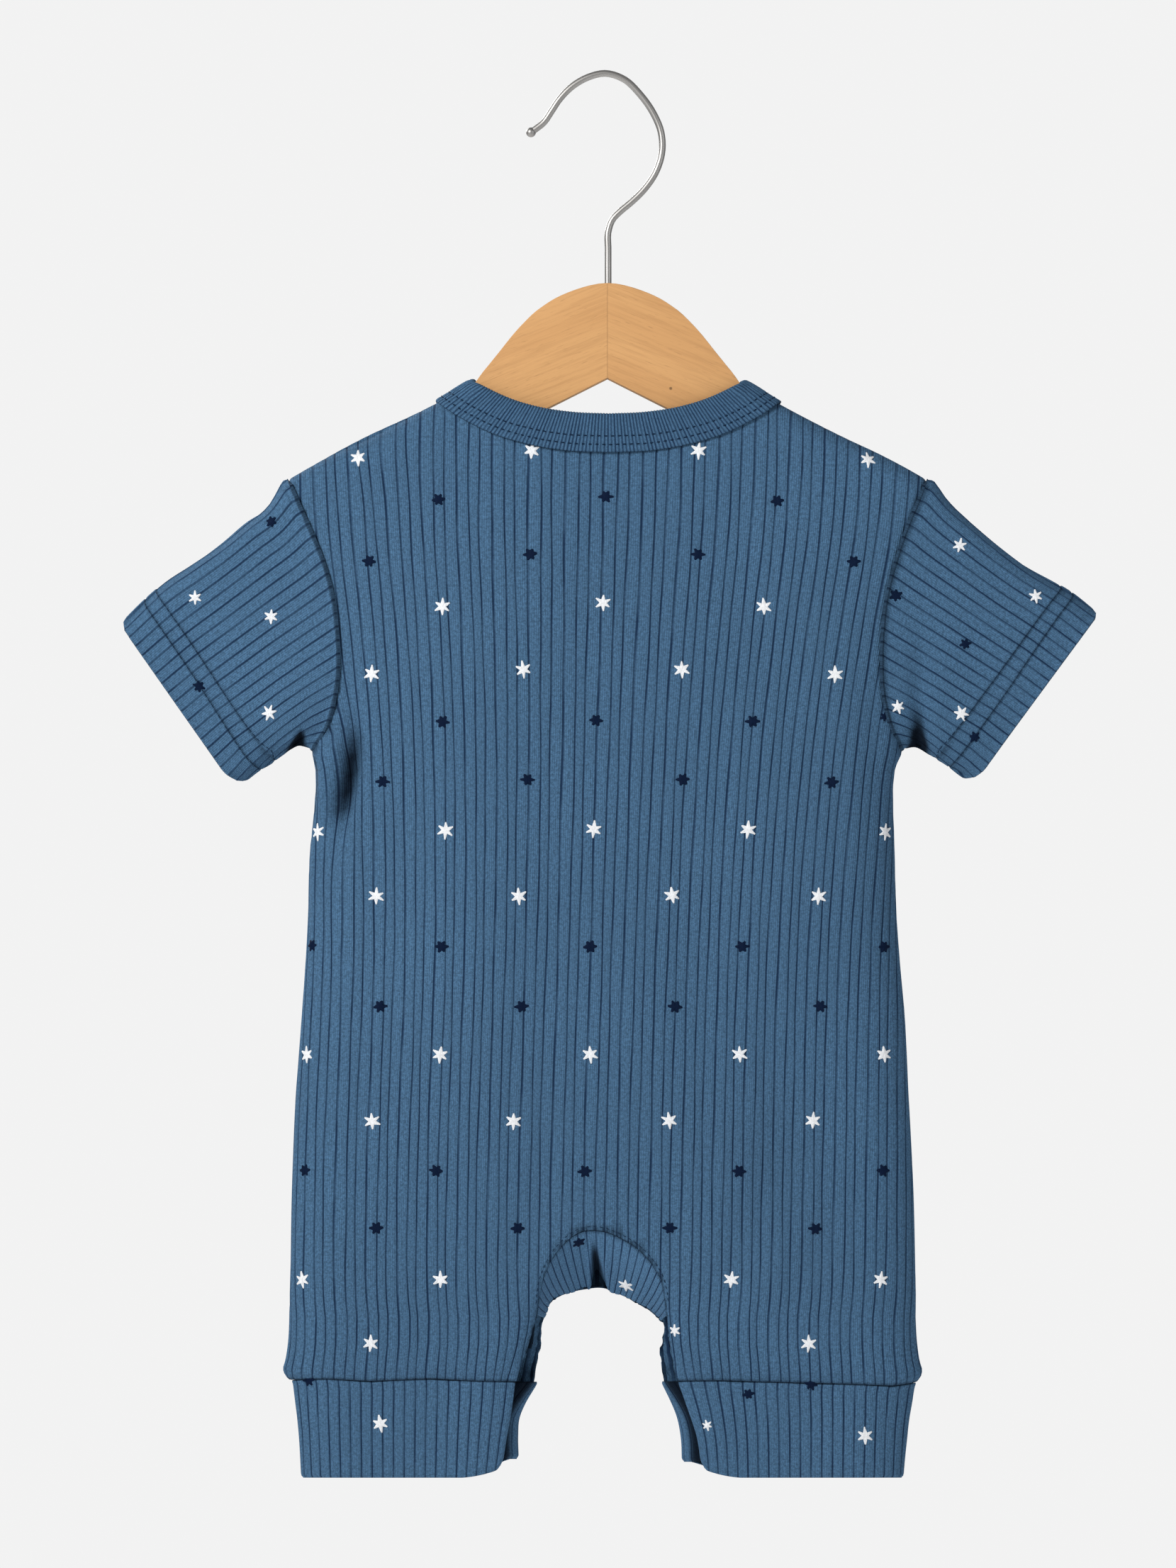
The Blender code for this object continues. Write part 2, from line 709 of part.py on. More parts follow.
def band_stations():
    """(neck edge, band edge) pairs of points round the neck, and the face each is on."""
    stations = []
    for face in (-1, 1):
        index = 1 if face < 0 else 2
        necks = neck_reaches(face)
        turning = len(ROLL_ANGLES)
        lows = [BAND_REACH]
        for drop in roll_drops()[1:]:
            lows.append(reach_at_drop(drop, BAND_EDGE, BAND_REACH, face, NECK_MIDDLE))
        scale = lows[-1] / necks[turning - 1]
        lows += [reach * scale for reach in necks[turning:]]
        half = []
        for neck, low in zip(necks, lows):
            neck_z = float(read(NECK_EDGE, neck, index))
            low_z = float(read(BAND_EDGE, low, index))
            half.append((neck, neck_z, low, low_z))
        sides = [(-1, half), (1, half[-2::-1])]
        line = []
        for side, pairs in sides:
            for neck, neck_z, low, low_z in pairs:
                x, low_x = NECK_MIDDLE + side * neck, NECK_MIDDLE + side * low
                if neck == NECK_REACH:
                    neck_z, low_z = float(ridge(x)), float(ridge(low_x))
                line.append(((x, neck_z), (low_x, low_z), face))
        stations += line if face < 0 else line[-2:0:-1]
    return stations


def build_neckband(finish):
    form = bmesh.new()
    rings = []
    for (neck_x, neck_z), (low_x, low_z), face in band_stations():
        width = math.dist(
            cloth_point(neck_x, neck_z, face), cloth_point(low_x, low_z, face)
        )
        ring = []
        for down, off in band_section(width):
            share = max(down, 0.0) / width
            x = neck_x + (low_x - neck_x) * share
            z = neck_z + (low_z - neck_z) * share
            z = min(z, float(ridge(x)))
            point, normal = cloth_point(x, z, face), cloth_normal(x, z, face)
            if down < 0:
                near_x = neck_x + (low_x - neck_x) * SLOPE_SHARE
                near_z = neck_z + (low_z - neck_z) * SLOPE_SHARE
                near_z = min(near_z, float(ridge(near_x)))
                slope = cloth_point(near_x, near_z, face) - point
                slope = slope - normal * np.dot(slope, normal)
                point = point + slope / np.linalg.norm(slope) * down
            ring.append(form.verts.new((point + normal * off) * MM))
        rings.append(ring)
    for ring, after in zip(rings, rings[1:] + rings[:1]):
        for number in range(len(ring)):
            follow = (number + 1) % len(ring)
            form.faces.new([ring[number], ring[follow], after[follow], after[number]])
    bmesh.ops.triangulate(form, faces=form.faces)
    return finish_solid("neckband", form, finish)


# ---------------------------------------------------------------- hard pieces
def wood_half_outline(side):
    """One half of the hanger seen from behind, from the joint out and back."""
    joint = SEAM_GAP / 2
    points = [(max(reach, joint), height) for reach, height in WOOD_OUTLINE]
    points.append((ARM_START, ARM_START_Z))
    top_end = ARM_START_Z - (ARM_END - ARM_START) * ARM_SLOPE
    low_end = NOTCH_Z - ARM_END * NOTCH_SLOPE
    radius = (top_end - low_end) / 2
    centre = (top_end + low_end) / 2
    for step in range(ARM_TIP_STEPS + 1):
        angle = math.pi / 2 - math.pi * step / ARM_TIP_STEPS
        beyond = radius * ARM_TIP_ROUND * math.cos(angle)
        points.append((ARM_END + beyond, centre + radius * math.sin(angle)))
    points.append((joint, NOTCH_Z))
    return [(side * x + MIDDLE, z) for x, z in points]


def build_wood_half(name, side, finish, bore):
    form = bmesh.new()
    outline = wood_half_outline(side)
    behind = [form.verts.new((x * MM, -WOOD_THICK / 2 * MM, z * MM)) for x, z in outline]
    face = form.faces.new(behind)
    raised = bmesh.ops.extrude_face_region(form, geom=[face])
    lifted = [item for item in raised["geom"] if isinstance(item, bmesh.types.BMVert)]
    bmesh.ops.translate(form, verts=lifted, vec=(0.0, WOOD_THICK * MM, 0.0))
    bmesh.ops.recalc_face_normals(form, faces=form.faces)
    joint = (MIDDLE + side * SEAM_GAP / 2) * MM

    def rounded(edge):
        flat = abs(edge.verts[0].co.y - edge.verts[1].co.y) < 1e-7
        at_joint = all(abs(vert.co.x - joint) < 1e-6 for vert in edge.verts)
        return flat and not at_joint

    edges = [edge for edge in form.edges if rounded(edge)]
    bmesh.ops.bevel(form, geom=edges, offset=WOOD_EASE * MM, segments=3, profile=0.5, affect="EDGES")
    half = finish_solid(name, form, finish)
    cut = half.modifiers.new("hook_bore", "BOOLEAN")
    cut.object = bore
    cut.operation = "DIFFERENCE"
    return half


def build_bore():
    """Helper that bores the hole for the hook's wire."""
    form = bmesh.new()
    bmesh.ops.create_cone(
        form,
        cap_ends=True,
        segments=20,
        radius1=(WIRE / 2 + BORE_CLEARANCE) * MM,
        radius2=(WIRE / 2 + BORE_CLEARANCE) * MM,
        depth=2 * BORE_DEPTH * MM,
    )
    middle = (HOOK_ROUTE[0][0] * MM, 0.0, WOOD_OUTLINE[0][1] * MM)
    bmesh.ops.translate(form, verts=form.verts, vec=middle)
    mesh = bpy.data.meshes.new("bore_cutter")
    form.to_mesh(mesh)
    form.free()
    cutter = bpy.data.objects.new("bore_cutter", mesh)
    bpy.context.scene.collection.objects.link(cutter)
    cutter.hide_render = True
    cutter.display_type = "WIRE"
    return cutter


def hook_line():
    """Evenly spaced points of the smooth route of the hook's wire."""
    route = np.array(HOOK_ROUTE)
    along = np.concatenate([[0.0], np.cumsum(np.linalg.norm(np.diff(route, axis=0), axis=1))])
    at = np.linspace(0.0, along[-1], HOOK_POINTS)
    return cubic(at, along, route[:, 0]), cubic(at, along, route[:, 1])


def build_hook(finish):
    """The wire as one swept mesh with rounded ends, and the bead at its tip."""
    xs, zs = hook_line()
    form = bmesh.new()
    path = [(x, z) for x, z in zip(xs, zs)]
    radii = [WIRE / 2] * len(path)
    end = np.array(path[-1]) - np.array(path[-2])
    end = end / np.linalg.norm(end)
    for forward, radius in HOOK_BEAD:
        tip = np.array(path[HOOK_POINTS - 1]) + end * forward
        path.append((tip[0], tip[1]))
        radii.append(radius)
    rings = []
    for number, (x, z) in enumerate(path):
        before, after = path[max(number - 1, 0)], path[min(number + 1, len(path) - 1)]
        line = np.array([after[0] - before[0], after[1] - before[1]])
        line = line / np.linalg.norm(line)
        across = np.array([-line[1], 0.0, line[0]])
        ring = []
        for step in range(HOOK_SIDES):
            angle = 2 * math.pi * step / HOOK_SIDES
            point = np.array([x, 0.0, z]) + radii[number] * (
                math.cos(angle) * across + math.sin(angle) * np.array([0.0, 1.0, 0.0])
            )
            ring.append(form.verts.new(point * MM))
        rings.append(ring)
    for ring, after in zip(rings, rings[1:]):
        for step in range(HOOK_SIDES):
            follow = (step + 1) % HOOK_SIDES
            form.faces.new([ring[step], ring[follow], after[follow], after[step]])
    form.faces.new(rings[0])
    form.faces.new(rings[-1])
    bmesh.ops.triangulate(form, faces=form.faces)
    return finish_solid("hanger_hook", form, finish)


def build_snap(name, x, y, z, thickness, finish):
    """A press snap: two discs on one post, its axis along Y."""
    profile = [
        (SNAP_RADIUS, 0.0),
        (SNAP_RADIUS, SNAP_DISC),
        (SNAP_POST_RADIUS, SNAP_DISC),
        (SNAP_POST_RADIUS, thickness - SNAP_DISC),
        (SNAP_RADIUS, thickness - SNAP_DISC),
        (SNAP_RADIUS, thickness),
    ]
    form = bmesh.new()
    rings = []
    for radius, along in profile:
        ring = []
        for step in range(SNAP_SIDES):
            angle = 2 * math.pi * step / SNAP_SIDES
            place = (x + radius * math.cos(angle), y - thickness / 2 + along, z + radius * math.sin(angle))
            ring.append(form.verts.new(np.array(place) * MM))
        rings.append(ring)
    for ring, after in zip(rings, rings[1:]):
        for step in range(SNAP_SIDES):
            follow = (step + 1) % SNAP_SIDES
            form.faces.new([ring[step], ring[follow], after[follow], after[step]])
    form.faces.new(rings[0])
    form.faces.new(rings[-1])
    bmesh.ops.triangulate(form, faces=form.faces)
    return finish_solid(name, form, finish)


def make_finish(name):
    red, green, blue, roughness, metallic = FINISHES[name]
    finish = bpy.data.materials.new(name)
    finish.use_nodes = True
    shader = finish.node_tree.nodes["Principled BSDF"]
    shader.inputs["Base Color"].default_value = (red, green, blue, 1.0)
    shader.inputs["Roughness"].default_value = roughness
    shader.inputs["Metallic"].default_value = metallic
    return finish


def leg_middle(side):
    """X of the middle of one leg's cuff."""
    index = 1 if side < 0 else 2
    return float(read(SIDES, CUFF_HEM, index) + read(INNER_LEGS, CUFF_HEM, index)) / 2


def cloth_sheets():
    """Every cloth piece's grid, its outward direction and its wall."""
    back, front = panel_grid(-1), panel_grid(1)
    hem_rows = [HEM_CLOTH if share > SLEEVE_HEM_SHARE else CLOTH for share in SLEEVE_SHARES]
    sheets = {
        "back": (back, False, lambda at: np.array([0.0, -1.0, 0.0]), CLOTH),
        "front": (front, False, lambda at: np.array([0.0, 1.0, 0.0]), CLOTH),
        "sleeve_left": (
            sleeve_grid(-1, back, front), True, lambda at: np.array([0.0, at[1], 0.0]), hem_rows,
        ),
        "sleeve_right": (
            sleeve_grid(1, back, front), True, lambda at: np.array([0.0, at[1], 0.0]), hem_rows,
        ),
        "crotch_placket": (
            placket_grid(back, front), False, lambda at: np.array([0.0, 0.0, -1.0]), CLOTH,
        ),
        "cuff_left": (
            cuff_grid(-1, back, front),
            False,
            lambda at: np.array([at[0] - leg_middle(-1), at[1], 0.0]),
            CUFF_CLOTH,
        ),
        "cuff_right": (
            cuff_grid(1, back, front),
            False,
            lambda at: np.array([at[0] - leg_middle(1), at[1], 0.0]),
            CUFF_CLOTH,
        ),
    }
    return {
        name: {
            "grid": grid,
            "closed": closed,
            "outward": outward,
            "thickness": thickness,
            "inset": PLACKET_INSET if name == "crotch_placket" else SEAM_GAP / 2,
        }
        for name, (grid, closed, outward, thickness) in sheets.items()
    }


def main():
    for old in list(bpy.data.objects):
        bpy.data.objects.remove(old, do_unlink=True)
    finishes = {name: make_finish(name) for name in FINISHES}
    sheets = cloth_sheets()
    shared_normals(sheets)
    for name, sheet in sheets.items():
        build_wall(name, sheet, finishes["rib_knit"])
    build_neckband(finishes["rib_trim"])
    bore = build_bore()
    build_wood_half("hanger_left", -1, finishes["maple"], bore)
    build_wood_half("hanger_right", 1, finishes["maple"], bore)
    build_hook(finishes["chrome"])
    for name, x, y, z, thickness in SNAP_PLACES:
        build_snap(name, x, y, z, thickness, finishes["white_plastic"])


main()
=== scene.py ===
"""A baby's short-sleeve rib-knit romper, hung flat on its small wooden hanger.

Run as a script: it loads the packed model as its frame and builds every visible piece round it.
Z is up and the back faces -Y. The tables hold millimetres, and MM turns them into metres.
"""

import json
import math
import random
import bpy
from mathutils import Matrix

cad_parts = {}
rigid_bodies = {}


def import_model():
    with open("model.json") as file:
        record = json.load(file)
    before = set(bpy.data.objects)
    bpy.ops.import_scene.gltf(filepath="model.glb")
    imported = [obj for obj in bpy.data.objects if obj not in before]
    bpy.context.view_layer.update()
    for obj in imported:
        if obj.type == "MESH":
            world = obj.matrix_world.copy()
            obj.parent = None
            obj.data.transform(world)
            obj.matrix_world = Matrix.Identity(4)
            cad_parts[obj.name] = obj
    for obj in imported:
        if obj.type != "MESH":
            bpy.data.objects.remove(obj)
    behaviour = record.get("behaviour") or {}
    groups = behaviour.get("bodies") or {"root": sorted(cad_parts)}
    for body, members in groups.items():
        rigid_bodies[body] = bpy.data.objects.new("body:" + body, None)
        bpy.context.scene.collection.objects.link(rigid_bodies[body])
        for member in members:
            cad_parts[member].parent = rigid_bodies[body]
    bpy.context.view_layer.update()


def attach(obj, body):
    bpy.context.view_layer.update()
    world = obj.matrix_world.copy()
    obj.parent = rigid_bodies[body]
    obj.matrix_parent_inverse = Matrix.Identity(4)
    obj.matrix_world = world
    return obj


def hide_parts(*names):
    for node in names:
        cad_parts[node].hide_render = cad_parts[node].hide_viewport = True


bl_info = {
    "name": "Rib-knit romper on a hanger",
    "version": (1, 0, 0),
    "blender": (4, 5, 0),
    "location": "View3D > Sidebar > Romper",
    "description": "Builds a baby's star-pattern romper, its wooden hanger and a plain stage",
    "category": "Add Mesh",
}

import bmesh
import bpy
import numpy as np
from mathutils import Vector
from mathutils.bvhtree import BVHTree

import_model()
VIEW_CENTRE = (-7.2, -295.6)
VIEW_HEIGHT = 655.4
VIEW_DISTANCE = 2400.0
SENSOR = 36.0
MM = 0.001
MERGE = 0.00005  # points of a cloth face that are nearer than this are one
CUT_STEPS = 22   # how often the cut of a grid is halved towards its edge
WALL_SHARP = 62  # degrees from which an edge of the cloth stays sharp

# ------------ the cut, as in the frame
SHOULDER_ROLL = 8.6
SIDE_ROLL = 22.0
MIDDLE = 0.9
NECK_MIDDLE = 1.4
NECK_REACH = 57.0
BAND_REACH = 71.5
HANGER_NECK_SLOPE = 1.23
SHOULDER_TIP = -168.6
UNDERARM = -281.0
ARMHOLE_FULL = 45.0
ARMHOLE_SHARE = 0.9
CUFF_SEAM = -545.5
CUFF_HEM = -585.6
INNER_EASE = 14.0
SEAM_HALF_GAP = 0.15
SIDE_SEAM_GAP = 0.02
ROLLED_SIDES = 14.0  # what a panel's rolled sides add to the width that shows

DEPTHS = [
    # height, half_depth
    (-120, 8.6), (-150, 8.7), (-180, 9.6), (-215, 11.6), (-281, 14), (-340, 15), (-450, 15),
    (-500, 13.6), (-541, 12.9), (-545.5, 11.7), (-560, 11.5), (-590, 11.2),
]
SIDES = [
    # height, left, right
    (-168.6, -132.7, 134.5), (-178, -128.9, 131.2), (-186, -125.4, 127.8), (-202, -118.8, 122.3),
    (-217, -114.6, 118.4), (-232, -112.7, 116.6), (-246, -112.2, 116.2), (-261, -114.1, 117.5),
    (-272, -117.4, 120.6), (-281, -122.6, 124.4), (-288, -121.3, 121.6), (-303, -121.4, 120.4),
    (-320, -123.2, 120.9), (-356, -124.4, 122.1), (-392, -126.8, 125.1), (-427, -129.4, 126.9),
    (-463, -130.9, 128.7), (-504, -131.8, 129.8), (-530, -132.8, 130.5), (-537, -133.7, 131.4),
    (-541, -134, 131.9), (-543.3, -133.4, 131.5), (-544.7, -132.4, 130.6), (-545.5, -131.5, 129.8),
    (-546.3, -131, 129.3), (-548.5, -130.7, 128.8), (-553, -130.1, 128.1), (-560.5, -129.1, 126.8),
    (-571, -128.1, 125.7), (-586, -127, 124.6),
]
SHOULDER = [
    # reach, height
    (57, -128.3), (71.5, -136.6), (88.7, -145.7), (100.6, -151.6), (113.4, -157.6), (124.7, -163.5),
    (133.6, -168.6),
]
NECK_EDGE = [
    # reach, back_height, front_height
    (0, -142.4, -180), (15, -141.7, -177.6), (31.5, -139, -168.2), (41.3, -136, -157.6),
    (48.2, -133, -146.8), (53.8, -130.1, -134.9), (57, -128.3, -128.3),
]
BAND_EDGE = [
    # reach, back_height, front_height
    (0, -156.8, -194.6), (19, -155.9, -191.6), (36, -152.8, -182.6), (48.5, -148.9, -172.4),
    (60, -143.3, -158), (67, -139.3, -145.6), (71.5, -136.6, -136.6),
]
CROTCH = [
    # back_x, back_z, front_x, front_z
    (-37.3, -545.5, -30.2, -545.5), (-31.4, -528, -27, -531), (-28.3, -518, -25.6, -519),
    (-25.6, -501.5, -23, -512.5), (-19.8, -490.6, -16.5, -508.8), (-9.5, -482.6, -8.8, -507),
    (-1.5, -482.4, -1.2, -506.4), (6, -485.2, 6, -509), (14.3, -490.6, 13, -512.3),
    (22.5, -501.5, 19.2, -515.6), (25.5, -518, 23.6, -520), (26.7, -530, 22.8, -533),
    (30.1, -545.5, 24.6, -545.5),
]
INNER_LEGS = [
    # height, back_left, back_right, front_left, front_right
    (-500, -25.4, 22, -20, 19), (-518, -28.3, 25.5, -25.6, 23.6), (-530, -32.1, 26.7, -27, 23),
    (-545.5, -37.3, 30.1, -30.2, 24.8), (-553, -38.3, 32.8, -34.5, 28.6),
    (-560, -39.3, 35.3, -37.6, 31.6), (-568, -40.8, 37.9, -38.2, 33.2),
    (-579, -42.5, 39.6, -37.9, 33.7), (-586, -43.6, 40.2, -38.2, 34),
]
INNER_CURL = [
    # height, share of depth squared left at the edge, how far the curl has set in
    (-548.5, 0.72, 1), (-530.5, 0.42, 1), (-518, 0.42, 1), (-492, 0.42, 0),
]
CUFF_WRAP = [
    # outwards, backwards, both from the front end's corner
    (0, 0), (1.5, 4), (1, 9), (-3, 13), (-9, 14.6), (-17, 15),
]
SLEEVE_TOPS = [
    # share, left_x, left_z, right_x, right_z
    (0, -132.7, -168.6, 134.5, -168.6), (0.026, -134.5, -168.9, 136.3, -168.7),
    (0.05, -136.2, -171.4, 138, -169.7), (0.095, -139.2, -177.2, 141.2, -174.6),
    (0.15, -143, -181.8, 145, -179.2), (0.24, -149.1, -186, 151.4, -185.2),
    (0.4, -160.1, -195.2, 162.6, -195.2), (0.58, -173.1, -204.4, 176, -205),
    (0.75, -185.4, -212.5, 188.6, -212.2), (0.85, -192.2, -218.6, 195.6, -216.4),
    (1, -202.3, -228.8, 205.9, -224.3),
]
SLEEVE_UNDERS = [
    # share, left_x, left_z, right_x, right_z
    (0, -122.6, -281, 124.4, -281), (0.18, -128.4, -279.6, 130.2, -280.2),
    (0.36, -134.4, -283.1, 136.4, -283.9), (0.68, -144.4, -290, 145, -289.2),
    (1, -154.7, -296.9, 153.7, -295.4),
]
# How far a lower hem corner is rounded off, and over which turn
HEM_CORNERS = {-1: (5.0, 0.13), 1: (4.2, 0.105)}
# Rows of hem stitches: how far from the hem's edge at the top fold, and how much less below
HEM_ROWS = ((12.8, 1.9), (19.3, 0.8))
SLEEVE_HEM_DEPTH = 9.6
SLEEVE_ROLL_SHARE = 0.1

# ------------ ribs and pattern
RIB_PITCH = [
    # height, rib width, x of the middle groove
    (-120, 5.15, 0.6), (-190, 5.06, -0.7), (-230, 4.82, -1.8), (-270, 4.61, -3), (-350, 4.39, -5.4),
    (-457, 4.39, -8.5), (-560, 4.39, -9.6),
]
RIB_PHASES = (0.0, 0.06, 0.13, 0.25, 0.5, 0.75, 0.87, 0.94)
RIB_REACH = 38
RIB_STEP = 0.1    # of the panels' table of ribs, in ribs
LEVEL_STEP = 2.0  # of the same table, in height
STAR_RIBS = 14       # ribs between two columns of stars
FIRST_COLUMN = 4.45  # rib of the front's column nearest to the middle
BACK_STARS = [
    # height, white, across
    (-155.4, True, (-103.5, -30.8, 39.1, 110.1)), (-175.2, False, (-69.8, 0.3, 72)),
    (-199.1, False, (-98.7, -31.4, 38.9, 103.9)), (-220.1, True, (-68.1, -0.9, 66.4)),
    (-247.3, True, (-97.7, -34.2, 32, 96.1)), (-268.8, False, (-67.9, -3.9, 61.5)),
    (-293.7, False, (-93, -32.4, 32.4, 94.5)), (-314.6, True, (-120.5, -66.7, -4.9, 59.7, 117.3)),
    (-342.2, True, (-95.6, -36.1, 28, 89.1)), (-363.5, False, (-122.8, -68.4, -6.3, 57.2, 116.7)),
    (-388.3, False, (-94, -34.9, 29.1, 89.8)), (-408.7, True, (-125, -68.9, -6.3, 56.2, 116.6)),
    (-436.3, True, (-97.3, -38.3, 26.7, 86.7)), (-457.2, False, (-125.6, -70.6, -8.4, 55.9, 116.2)),
    (-481.1, False, (-95.7, -36.7, 27.1, 87.8)), (-503, True, (-126.8, -68.9, 52.7, 115.2)),
    (-529.5, True, (-98.1, 84.9)),
]
FRONT_ROWS = [
    # height, columns start at this share of the spacing, white
    (-212, 0.5, False), (-233, 0, True), (-261, 0.5, True), (-282, 0, False), (-307, 0.5, False),
    (-328, 0, True), (-355, 0.5, True), (-376.5, 0, False), (-401, 0.5, False), (-422, 0, True),
    (-449.5, 0.5, True), (-470, 0, False), (-494, 0.5, False), (-516, 0, True), (-170.5, 0.5, True),
    (-189.5, 0, False),
]
# Stars of the sleeves and cuffs: x, height, turn in degrees, white, and for the cuffs their size
SLEEVE_STARS = [
    (-139.9, -185.8, 40, False), (-171.7, -217.6, 10, True), (-139.9, -225.5, 5, True),
    (-170.1, -254.7, -20, False), (-140.6, -265.8, -15, True), (148.4, -195.7, -12, True),
    (180.2, -217, 8, True), (121.6, -216.6, 20, False), (150.7, -237, 15, False),
    (122.6, -263.2, 10, True), (149.1, -266.1, 25, True), (154.7, -276, 45, False),
]
CUFF_STARS = [
    (-94.1, -563.2, 4, True, 1), (-124.2, -546.2, 0, False, 1), (42.6, -563.9, 20, True, 0.65),
    (59.9, -550.9, 15, False, 0.85), (86, -545.7, 0, False, 1), (108.6, -568.2, 5, True, 1),
]


def cubic(at, places, values):
    """Reads a smooth curve through a short table at one place or at several."""
    places = np.asarray(places, float)
    values = np.asarray(values, float)
    if places[0] > places[-1]:
        places, values = places[::-1], values[::-1]
    slopes = np.gradient(values, places)
    at = np.clip(at, places[0], places[-1])
    cell = np.clip(np.searchsorted(places, at, side="right") - 1, 0, len(places) - 2)
    width = places[cell + 1] - places[cell]
    t = (at - places[cell]) / width
    start = (2 * t**3 - 3 * t**2 + 1) * values[cell] + (t**3 - 2 * t**2 + t) * width * slopes[cell]
    end = (3 * t**2 - 2 * t**3) * values[cell + 1] + (t**3 - t**2) * width * slopes[cell + 1]
    return start + end


def column(table, index):
    return [row[index] for row in table]


def read(table, at, index):
    """Smooth value of one column of a table whose first column is the place."""
    return cubic(at, column(table, 0), column(table, index))


def bulge(share):
    """Square of a quarter circle's height, 0 at its foot and 1 at its crown."""
    return 1 - (1 - np.minimum(share, 1.0)) ** 2


def hump(distance, width):
    return np.exp(-((distance / width) ** 2))


def smooth(value, low, high):
    share = np.clip((value - low) / (high - low), 0.0, 1.0)
    return share * share * (3 - 2 * share)


def unit(vectors):
    """The same directions, each of length 1."""
    return vectors / np.maximum(np.linalg.norm(vectors, axis=-1, keepdims=True), 1e-12)


def distances(points):
    """How far along a line of points each one lies."""
    return np.concatenate([[0.0], np.cumsum(np.linalg.norm(np.diff(points, axis=0), axis=1))])


def sample(line, along, at):
    """Points of a line at some distances along it."""
    return np.stack([np.interp(at, along, line[:, axis]) for axis in range(line.shape[1])], axis=-1)


def between(table, level, spot):
    """Reads a grid of values between its rows and its columns."""
    row = np.minimum(level.astype(int), table.shape[0] - 2)
    cell = np.minimum(spot.astype(int), table.shape[1] - 2)
    down, across = level - row, spot - cell
    low = table[row, cell] * (1 - across) + table[row, cell + 1] * across
    high = table[row + 1, cell] * (1 - across) + table[row + 1, cell + 1] * across
    return low * (1 - down) + high * down


# ------------ the cloth's surface
def ridge(x):
    """Height of the cloth where it crosses the top of the hanger's arms."""
    reach = np.abs(x - MIDDLE)
    outside = read(SHOULDER, reach, 1)
    inside = SHOULDER[0][1] + (NECK_REACH - reach) * HANGER_NECK_SLOPE
    return np.where(reach < NECK_REACH, inside, outside)


def side_share(x, z, face):
    """Share of the depth squared that is left near the sides and the inner leg edges."""
    left, right = read(SIDES, z, 1), read(SIDES, z, 2)
    armhole = bulge((z - UNDERARM) / ARMHOLE_FULL)
    open_share = ARMHOLE_SHARE**2 * np.where(z > UNDERARM, armhole, 0.0)
    reach = np.minimum(x - left, right - x) / SIDE_ROLL
    side = open_share + (1 - open_share) * bulge(reach)
    first = 1 if face < 0 else 3
    inner_left, inner_right = read(INNER_LEGS, z, first), read(INNER_LEGS, z, first + 1)
    from_edge = np.where(x < 0, inner_left - x, x - inner_right) / INNER_EASE
    heights = column(INNER_CURL, 0)
    curl = np.interp(z, heights, column(INNER_CURL, 1))
    onset = np.interp(z, heights, column(INNER_CURL, 2))
    ease = curl + (1 - curl) * bulge(np.maximum(from_edge, 0.0))
    return side * (1 - onset + onset * ease)


def depth_squared(x, z, face):
    """Square of the cloth's distance from the middle plane; face is -1 for the back."""
    roll = 1 - (1 - np.minimum((ridge(x) - z) / SHOULDER_ROLL, 1.0)) ** 2
    return read(DEPTHS, z, 1) ** 2 * roll * side_share(x, z, face)


def cloth_base(x, z, face):
    """Points of the plain outer face, and its normals."""
    x, z = np.asarray(x, float), np.asarray(z, float)
    step = 0.05
    y = face * np.sqrt(np.maximum(depth_squared(x, z, face), 0.0))
    across = depth_squared(x + step, z, face) - depth_squared(x - step, z, face)
    down = depth_squared(x, z + step, face) - depth_squared(x, z - step, face)
    return np.stack([x, y, z], axis=-1), unit(np.stack([-across, 4 * step * y, -down], axis=-1))


def roll_drops(step):
    """Drops below the ridge that are evenly spaced round the shoulder's roll, by degrees."""
    return [SHOULDER_ROLL * (1 - math.cos(math.radians(angle))) for angle in range(0, 91, step)]


def reach_at_drop(drop, edge_table, limit, face):
    """How far from the middle an edge lies where it is this far below the ridge."""
    low, high = 0.0, limit
    for _ in range(50):
        mid = (low + high) / 2
        edge = read(edge_table, mid, 1 if face < 0 else 2)
        if float(ridge(NECK_MIDDLE - mid) - edge) > drop:
            low = mid
        else:
            high = mid
    return low


def spread(points, count):
    """Evenly spaced points along a line of points, ends included."""
    points = np.asarray(points, float)
    along = distances(points)
    at = np.linspace(0.0, along[-1], count)
    return np.stack([cubic(at, along, points[:, axis]) for axis in range(points.shape[1])], axis=-1)


def crotch_line(face):
    """Edge of one panel from the left cuff seam over the arch to the right one."""
    first = 0 if face < 0 else 2
    return spread([row[first : first + 2] for row in CROTCH], 161)


CROTCH_LINES = {-1: crotch_line(-1), 1: crotch_line(1)}
# The arch is searched only where it can lie
ARCH_REACH, ARCH_TOP, FAR_BELOW, FAR_AWAY = 60.0, -470.0, -700.0, 50.0


def in_gap(x, z, face):
    """True where a place lies under the arch, between the legs."""
    line = CROTCH_LINES[face]
    loop = np.vstack([line, [[line[-1, 0], FAR_BELOW], [line[0, 0], FAR_BELOW]]])
    inside = np.zeros(np.shape(x), bool)
    near = (np.abs(x) < ARCH_REACH) & (z < ARCH_TOP)
    px, pz = x[near], z[near]
    odd = np.zeros(px.shape, bool)
    for (ax, az), (bx, bz) in zip(loop, np.roll(loop, -1, axis=0)):
        if az == bz:
            continue
        crosses = (az > pz) != (bz > pz)
        odd ^= crosses & (px < (bx - ax) * (pz - az) / (bz - az) + ax)
    inside[near] = odd
    return inside


